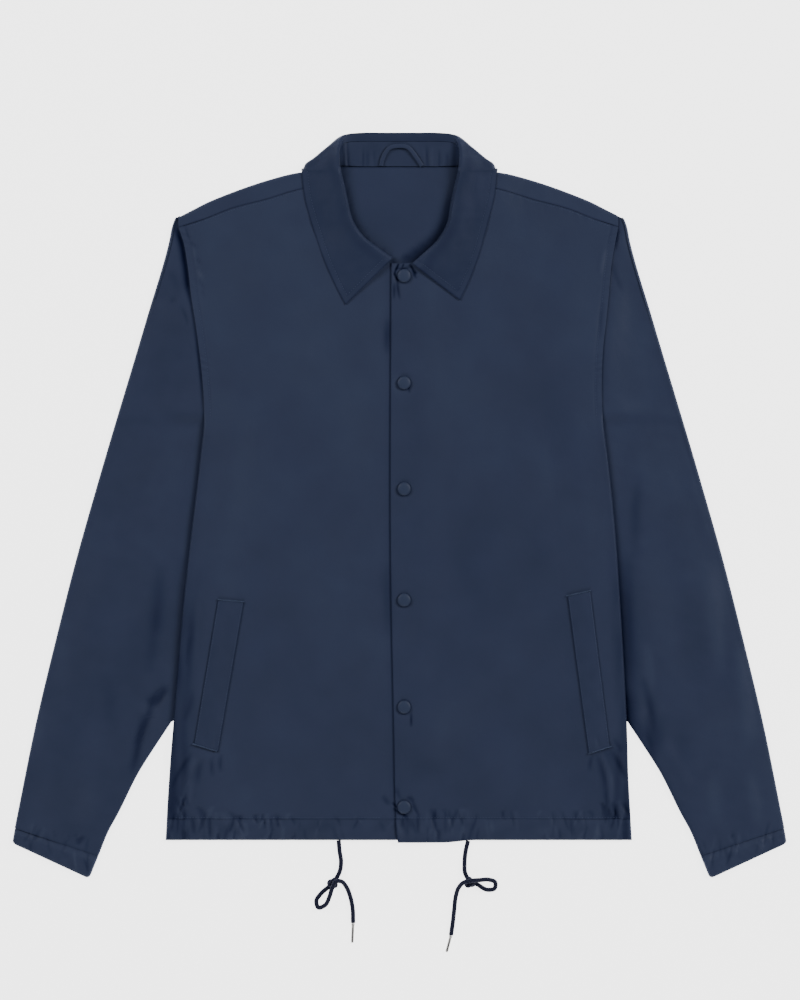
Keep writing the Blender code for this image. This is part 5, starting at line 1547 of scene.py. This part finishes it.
def even(path, pitch):
    """Centres at equal steps along a path, and the path's direction at each."""
    along = lengths(path, 0)
    at = (np.arange(int(along[-1] / pitch)) + 0.5) * pitch
    centres, ahead = (np.stack([np.interp(to, along, line) for line in path.T], axis=-1) for to in (at, at + pitch / 3))
    run = ahead - centres
    return centres, run / np.linalg.norm(run, axis=1, keepdims=True)


def stitch_line(name, paths, slot_name, pitch=None, length=None, radius=None):
    """Rows of small round-ended stitches along paths: rings of six points, drawn in and sunk at both ends."""
    trim = bpy.context.scene.jacket_trim
    pitch = pitch or trim.stitch_pitch
    length = length or trim.stitch_length
    radius = radius or trim.thread_radius
    rows = [even(path, pitch) for path in paths]
    centres = np.concatenate([row[0] for row in rows])[:, None, None]
    run = np.concatenate([row[1] for row in rows])
    beside = np.cross(run, (0.0, 0.0, 1.0))
    beside /= np.linalg.norm(beside, axis=1, keepdims=True)
    above = np.cross(beside, run)[:, None, None]
    run, beside = run[:, None, None], beside[:, None, None]
    turn = np.linspace(0.0, 2 * np.pi, 6, endpoint=False)[None, None, :, None]
    along = (length / 2 * np.array([-1.0, -0.75, 0.0, 0.75, 1.0]))[None, :, None, None]
    out = (radius * np.array([0.35, 0.85, 1.0, 0.85, 0.35]))[None, :, None, None]
    sink = (radius * np.array([-0.9, -0.1, 0.25, -0.1, -0.9]))[None, :, None, None]
    points = centres + along * run + out * (np.cos(turn) * beside + np.sin(turn) * above) + sink * above
    count = len(points)
    index = np.arange(30).reshape(5, 6)
    around = quads(np.concatenate([index, index[:, :1]], axis=1))
    start = (np.arange(count) * 30)[:, None, None]
    faces = [(start + around[None]).reshape(-1, 4)]
    faces += [(start + index[None, 0:1, ::-1]).reshape(-1, 6), (start + index[None, 4:5]).reshape(-1, 6)]
    look = bpy.data.materials.get("sewing_thread") or thread()
    return place(name, points.reshape(-1, 3), faces, look)


def crossing(grid, values, level):
    """For each row of a grid, the point where values, which fall along the row, reach a level."""
    i = np.clip((values > level).sum(axis=1), 1, values.shape[1] - 1)
    rows = np.arange(len(grid))
    high, low = values[rows, i - 1], values[rows, i]
    share = np.clip((high - level) / np.maximum(high - low, 1e-9), 0.0, 1.0)[:, None]
    return grid[rows, i - 1] * (1 - share) + grid[rows, i] * share


def cord_path(route):
    """A smooth curve through a route's marks at the cord's middle height, never lower than the cord's radius."""
    radius = bpy.context.scene.jacket_trim.cord_thickness / 2
    marks = np.array(route) + (0.0, 0.0, radius)
    along = lengths(marks, 0)
    path = curve_at(along, marks, np.linspace(0.0, along[-1], CORD_RINGS))
    path[:, 2] = np.maximum(path[:, 2], radius)
    return path


def trefoil(middle, size, squash, turn):
    """A three-lobed knot's closed line: sines and cosines of once and twice around, crossing three times."""
    t = np.linspace(0.0, 2 * np.pi, KNOT_RINGS, endpoint=False)
    x = (np.sin(t) + 2 * np.sin(2 * t)) / 3 * size
    y = (np.cos(t) - 2 * np.cos(2 * t)) / 3 * size * squash
    z = -np.sin(3 * t) * KNOT_RISE
    plan = np.stack([x * np.cos(turn) - y * np.sin(turn), x * np.sin(turn) + y * np.cos(turn), z], axis=-1)
    return plan + middle


class JacketCloth(PropertyGroup):
    """Looks of the nylon and its sewing thread"""

    colour: FloatVectorProperty(
        name="Colour", description="Colour of the nylon", subtype="COLOR", size=3, min=0.0, max=1.0,
        default=(0.0300, 0.0418, 0.0905),
    )
    roughness: FloatProperty(
        name="Roughness", description="How matt the nylon is", subtype="FACTOR", min=0.0, max=1.0, default=0.55
    )
    sheen: FloatProperty(
        name="Sheen", description="Pale glow at grazing angles", subtype="FACTOR", min=0.0, max=1.0, default=0.05
    )
    pucker: FloatProperty(
        name="Pucker", description="Height of the gathers at the seams", unit="LENGTH", precision=5, default=0.0006
    )
    thread: FloatProperty(
        name="Weave", description="Distance between threads of the weave", unit="LENGTH", precision=5, default=0.0005
    )
    thread_colour: FloatVectorProperty(
        name="Thread", description="Colour of the sewing thread", subtype="COLOR", size=3, min=0.0, max=1.0,
        default=(0.066, 0.088, 0.160),
    )


class JacketTrim(PropertyGroup):
    """Sizes of the snaps, cords and stitches"""

    snap_radius: FloatProperty(
        name="Snap radius", description="Radius of a snap's cap", unit="LENGTH", precision=4, default=0.0069
    )
    snap_height: FloatProperty(
        name="Snap height", description="Height of a snap's cap above the cloth", unit="LENGTH", precision=4,
        default=0.0028,
    )
    cord_thickness: FloatProperty(
        name="Cord thickness", description="Diameter of the hem cord", unit="LENGTH", precision=4, default=0.0047
    )
    stitch_pitch: FloatProperty(
        name="Stitch pitch", description="Distance from one stitch to the next", unit="LENGTH", precision=4,
        default=0.0030,
    )
    stitch_length: FloatProperty(
        name="Stitch length", description="Length of thread that shows in a stitch", unit="LENGTH", precision=4,
        default=0.0022,
    )
    thread_radius: FloatProperty(
        name="Thread radius", description="Half the thickness of the sewing thread", unit="LENGTH", precision=5,
        default=0.00017,
    )


class JacketStudio(PropertyGroup):
    """The floor, the lights and the camera"""

    floor_colour: FloatVectorProperty(
        name="Floor", description="Colour of the floor", subtype="COLOR", size=3, min=0.0, max=1.0,
        default=(0.90, 0.90, 0.90),
    )
    floor_glow: FloatProperty(
        name="Floor glow", description="Light of its own that keeps the floor white", default=3.2
    )
    light: FloatProperty(
        name="Light", description="Strength of the main light", unit="POWER", default=62.0
    )
    sky: FloatProperty(
        name="Sky", description="Strength of the even light from all round", default=0.09
    )
    camera_height: FloatProperty(
        name="Camera height", description="Height of the camera above the floor", unit="LENGTH", default=3.0
    )


class JACKET_OT_studio(Operator):
    """Adds the floor, the lights, the even sky and a camera straight above"""

    bl_idname = "jacket.studio"
    bl_label = "Studio"

    def execute(self, context):
        studio = context.scene.jacket_studio
        look, _, surface = shader("floor_paper", tuple(studio.floor_colour), 0.9, Specular_IOR_Level=0.1)
        surface.inputs["Emission Color"].default_value = (1.0, 1.0, 1.0, 1.0)
        surface.inputs["Emission Strength"].default_value = studio.floor_glow
        mesh = bpy.data.meshes.new("floor")
        half = FLOOR_SIZE / 2
        corners = [(-half, -half, 0.0), (half, -half, 0.0), (half, half, 0.0), (-half, half, 0.0)]
        mesh.from_pydata(corners, [], [(0, 1, 2, 3)])
        mesh.materials.append(look)
        floor = bpy.data.objects.new("floor", mesh)
        context.scene.collection.objects.link(floor)
        for name, at, size, share in LAMPS:
            lamp = bpy.data.lights.new(name, "AREA")
            lamp.shape = "DISK"
            lamp.size = size
            lamp.energy = studio.light * share
            holder = bpy.data.objects.new(name, lamp)
            holder.location = at
            holder.rotation_euler = Vector(at).to_track_quat("Z", "Y").to_euler()
            context.scene.collection.objects.link(holder)
        world = bpy.data.worlds.new("sky")
        world.use_nodes = True
        world.node_tree.nodes["Background"].inputs["Strength"].default_value = studio.sky
        world.node_tree.nodes["Background"].inputs["Color"].default_value = (1.0, 1.0, 1.0, 1.0)
        context.scene.world = world
        camera = bpy.data.cameras.new("camera")
        camera.sensor_width = SENSOR
        camera.lens = SENSOR * studio.camera_height / FRAME_HEIGHT
        holder = bpy.data.objects.new("camera", camera)
        holder.location = (*FRAME_MIDDLE, studio.camera_height + JACKET_MIDDLE_Z)
        context.scene.collection.objects.link(holder)
        context.scene.camera = holder
        return {"FINISHED"}


class JACKET_OT_drawcords(Operator):
    """Adds both hem cords with their knots and metal tips"""

    bl_idname = "jacket.drawcords"
    bl_label = "Drawcords"

    def execute(self, context):
        thick = context.scene.jacket_trim.cord_thickness
        yarn, metal = braid(), tip_metal()
        for hand, route, end, knot in (
            ("right", CORD_RIGHT, TIP_RIGHT_END, KNOT_RIGHT),
            ("left", CORD_LEFT, TIP_LEFT_END, KNOT_LEFT),
        ):
            path = cord_path(route)
            rings, uv = carried(path, thick / 2, CORD_SIDES)
            cord = rings_piece("cord_" + hand, rings, yarn, ("drawcord_" + hand,), uv)
            start = path[-1]
            stop = np.array([*end, start[2]])
            run = (stop - start) / np.linalg.norm(stop - start)
            start = start + run * 0.0005
            shares, radii = np.array(TIP_PROFILE).T
            line = start * (1 - shares[:, None]) + stop * shares[:, None]
            rings, _ = carried(line, radii, TIP_SIDES)
            tip = rings_piece("tip_" + hand, rings, metal, ("cord_tip_" + hand,))
            line = trefoil((*knot, KNOT_MIDDLE_Z), KNOT_SIZE, 0.86, 0.5 if hand == "right" else -0.9)
            rings, uv = carried(np.concatenate([line, line[:2]]), thick / 2 * 0.92, KNOT_SIDES)
            tied = rings_piece("knot_" + hand, rings[1:-1], yarn, (), uv[1:-1], closed=True)
        return {"FINISHED"}


class JACKET_OT_back(Operator):
    """Adds the back panel, carried over the shoulders to the forward seams"""

    bl_idname = "jacket.back"
    bl_label = "Back"

    def execute(self, context):
        outer, inner = back_grids()
        sewn("back", "back", outer, inner, back_tone(inner[..., 0], inner[..., 1], outer[..., 2]))
        return {"FINISHED"}


class JACKET_OT_fronts(Operator):
    """Adds both fronts with their waves, creases and seam puckers"""

    bl_idname = "jacket.fronts"
    bl_label = "Fronts"

    def execute(self, context):
        for side, hand in SIDES_OF:
            top, inner = front_grids(side)
            sewn("front_" + hand, "front", top, inner, front_tone(top[..., 0], top[..., 1], side))
        return {"FINISHED"}


class JACKET_OT_casings(Operator):
    """Adds the gathered hem casings"""

    bl_idname = "jacket.casings"
    bl_label = "Hem casings"

    def execute(self, context):
        for side, hand in SIDES_OF:
            top, inner = casing_front_grids(side)
            sewn("casing_front_" + hand, "casing", top, inner, casing_tone(top[..., 0], top[..., 1], side))
        outer = casing_back_grid()
        sewn("casing_back", "casing", outer, behind(outer, WALL, rounded=True))
        return {"FINISHED"}


class JACKET_OT_sleeves(Operator):
    """Adds both sleeves, flattened tubes with long soft folds"""

    bl_idname = "jacket.sleeves"
    bl_label = "Sleeves"

    def execute(self, context):
        for side, hand in SIDES_OF:
            top, inner = sleeve_grids(side)
            sewn("sleeve_" + hand, "sleeve", top, inner, sleeve_tone(np.abs(top[..., 0]), top[..., 1], side))
        return {"FINISHED"}


class JACKET_OT_cuffs(Operator):
    """Adds both gathered cuffs"""

    bl_idname = "jacket.cuffs"
    bl_label = "Cuffs"

    def execute(self, context):
        for side, hand in SIDES_OF:
            outer, inner = cuff_grids(side)
            tone = cuff_tone(np.abs(outer[..., 0]), outer[..., 1], side)
            sewn("cuff_" + hand, "cuff", outer, inner, tone, ring=True)
        return {"FINISHED"}


class JACKET_OT_collar(Operator):
    """Adds the turned-down collar, its stand and the hanger loop"""

    bl_idname = "jacket.collar"
    bl_label = "Collar"

    def execute(self, context):
        top, inner, far, across = collar_grids()
        sewn("collar", "collar", top, inner, collar_tone(top, far, across))
        top, inner = stand_grids()
        sewn("collar_stand", "collar", top, inner, stand_tone(top[..., 0], top[..., 1]))
        sewn("hanger_loop", "collar", *loop_grids())
        return {"FINISHED"}


class JACKET_OT_welts(Operator):
    """Adds the slanted welts of the hand pockets with their bar tacks"""

    bl_idname = "jacket.welts"
    bl_label = "Pocket welts"

    def execute(self, context):
        for side, hand in SIDES_OF:
            top, inner, rim = welt_grids(side)
            # Random tone, with painted shade along the welt's long edges
            tone = 0.96 + waves(top[..., 0], top[..., 1], "welt_tone") - 0.34 * bell(rim, 0.0007)
            sewn("pocket_welt_" + hand, "welt", top, inner, tone)
            bars = []
            for start, stop in np.array(TACKS_RIGHT if side < 0 else TACKS_LEFT):
                x, y = (start + (stop - start) * np.linspace(0.0, 1.0, 40)[:, None]).T
                z = front_top(x, y, side) + 2 * SEAM + WELT_LIFT + WELT_HIGH + TACK_LIFT
                bars.append(at_points(x, y, z))
            stitch_line("tacks_" + hand, bars, "cord_yarn", *TACK_STITCH)
        return {"FINISHED"}


class JACKET_OT_snaps(Operator):
    """Adds the six enamelled snap caps"""

    bl_idname = "jacket.snaps"
    bl_label = "Snaps"

    def execute(self, context):
        trim = context.scene.jacket_trim
        look = enamel()
        marks = np.linspace(0.0, len(SNAP_PROFILE) - 1.0, SNAP_RINGS)
        profile = curve_at(np.arange(len(SNAP_PROFILE)), SNAP_PROFILE, marks) * (trim.snap_radius, trim.snap_height)
        for number, y in enumerate(SNAP_YS, 1):
            seat = float(front_height(np.array([SNAP_X]), np.array([y]), 1)[0]) + SEAM
            rings = revolved(profile, (SNAP_X, y, seat), SNAP_SIDES)
            rings_piece(f"snap_{number}_cap", rings, look, (f"snap_{number}",))
        return {"FINISHED"}


class JACKET_OT_stitching(Operator):
    """Adds the stitched lines of the collar, armholes, shoulders, hem and welts"""

    bl_idname = "jacket.stitching"
    bl_label = "Stitching"

    def execute(self, context):
        top, _, _, across = collar_grids()
        around = lengths(top, 0)
        first = int(np.argmax(around[:, -1] > EDGE_STITCH))
        last = int(np.argmax(around[-1, -1] - around[:, -1] < EDGE_STITCH))
        free = crossing(top, across[:, -1:] - across, EDGE_STITCH)[first:last]
        columns = np.swapaxes(top, 0, 1)
        along = np.swapaxes(around, 0, 1)
        shown = (across[0] > 0.012) & (across[0] < across[0, -1] - EDGE_STITCH)
        right = crossing(columns, -along, -EDGE_STITCH)[shown]
        left = crossing(columns[:, ::-1], (along - along[:, -1:])[:, ::-1], -EDGE_STITCH)[shown]
        stitch_line("collar_stitches", [free, right, left], "collar_nylon")
        front_paths, welt_paths = [], []
        for side, _ in SIDES_OF:
            down = np.linspace(UNDERARM_Y - 0.004, ARMHOLE_TOP_Y - 0.004, 80)
            over = side * np.linspace(0.100, 0.222, 60)
            along = side * np.linspace(0.020 if side < 0 else -0.006, 0.236, 120)
            for x, y in (
                (side * (side_x(down, side) - ARMHOLE_STITCH), down),
                (over, shoulder(over, "seam") - 0.0022),
                (along, np.full_like(along, CASING_Y + 0.0018)),
            ):
                front_paths.append(at_points(x, y, front_top(x, y, side)))
            top, _, _ = welt_grids(side)
            welt_paths += [top[2:-2, 4], top[2:-2, -5]]
        stitch_line("front_stitches", front_paths, "front_nylon")
        stitch_line("welt_stitches", welt_paths, "welt_nylon")
        return {"FINISHED"}


class JACKET_PT_panel(Panel):
    """Lists the jacket's pieces and values"""

    bl_idname = "JACKET_PT_panel"
    bl_label = "Jacket"
    bl_space_type = "VIEW_3D"
    bl_region_type = "UI"
    bl_category = "Jacket"

    def draw(self, context):
        for group in PROPERTY_GROUPS:
            values = getattr(context.scene, group)
            box = self.layout.box()
            for name in values.__annotations__:
                box.prop(values, name)
        for operator in OPERATORS:
            self.layout.operator(operator.bl_idname)


PROPERTY_GROUPS = {"jacket_cloth": JacketCloth, "jacket_trim": JacketTrim, "jacket_studio": JacketStudio}
OPERATORS = (
    JACKET_OT_studio,
    JACKET_OT_drawcords,
    JACKET_OT_back,
    JACKET_OT_fronts,
    JACKET_OT_casings,
    JACKET_OT_sleeves,
    JACKET_OT_cuffs,
    JACKET_OT_collar,
    JACKET_OT_welts,
    JACKET_OT_snaps,
    JACKET_OT_stitching,
)


def register():
    for name, group in PROPERTY_GROUPS.items():
        bpy.utils.register_class(group)
        setattr(bpy.types.Scene, name, PointerProperty(type=group))
    for kind in (*OPERATORS, JACKET_PT_panel):
        bpy.utils.register_class(kind)


def unregister():
    for kind in reversed((*OPERATORS, JACKET_PT_panel)):
        bpy.utils.unregister_class(kind)
    for name, group in reversed(list(PROPERTY_GROUPS.items())):
        delattr(bpy.types.Scene, name)
        bpy.utils.unregister_class(group)


def main():
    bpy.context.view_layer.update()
    register()
    for operator in OPERATORS:
        group, name = operator.bl_idname.split(".")
        getattr(getattr(bpy.ops, group), name)()


if __name__ == "__main__":
    main()
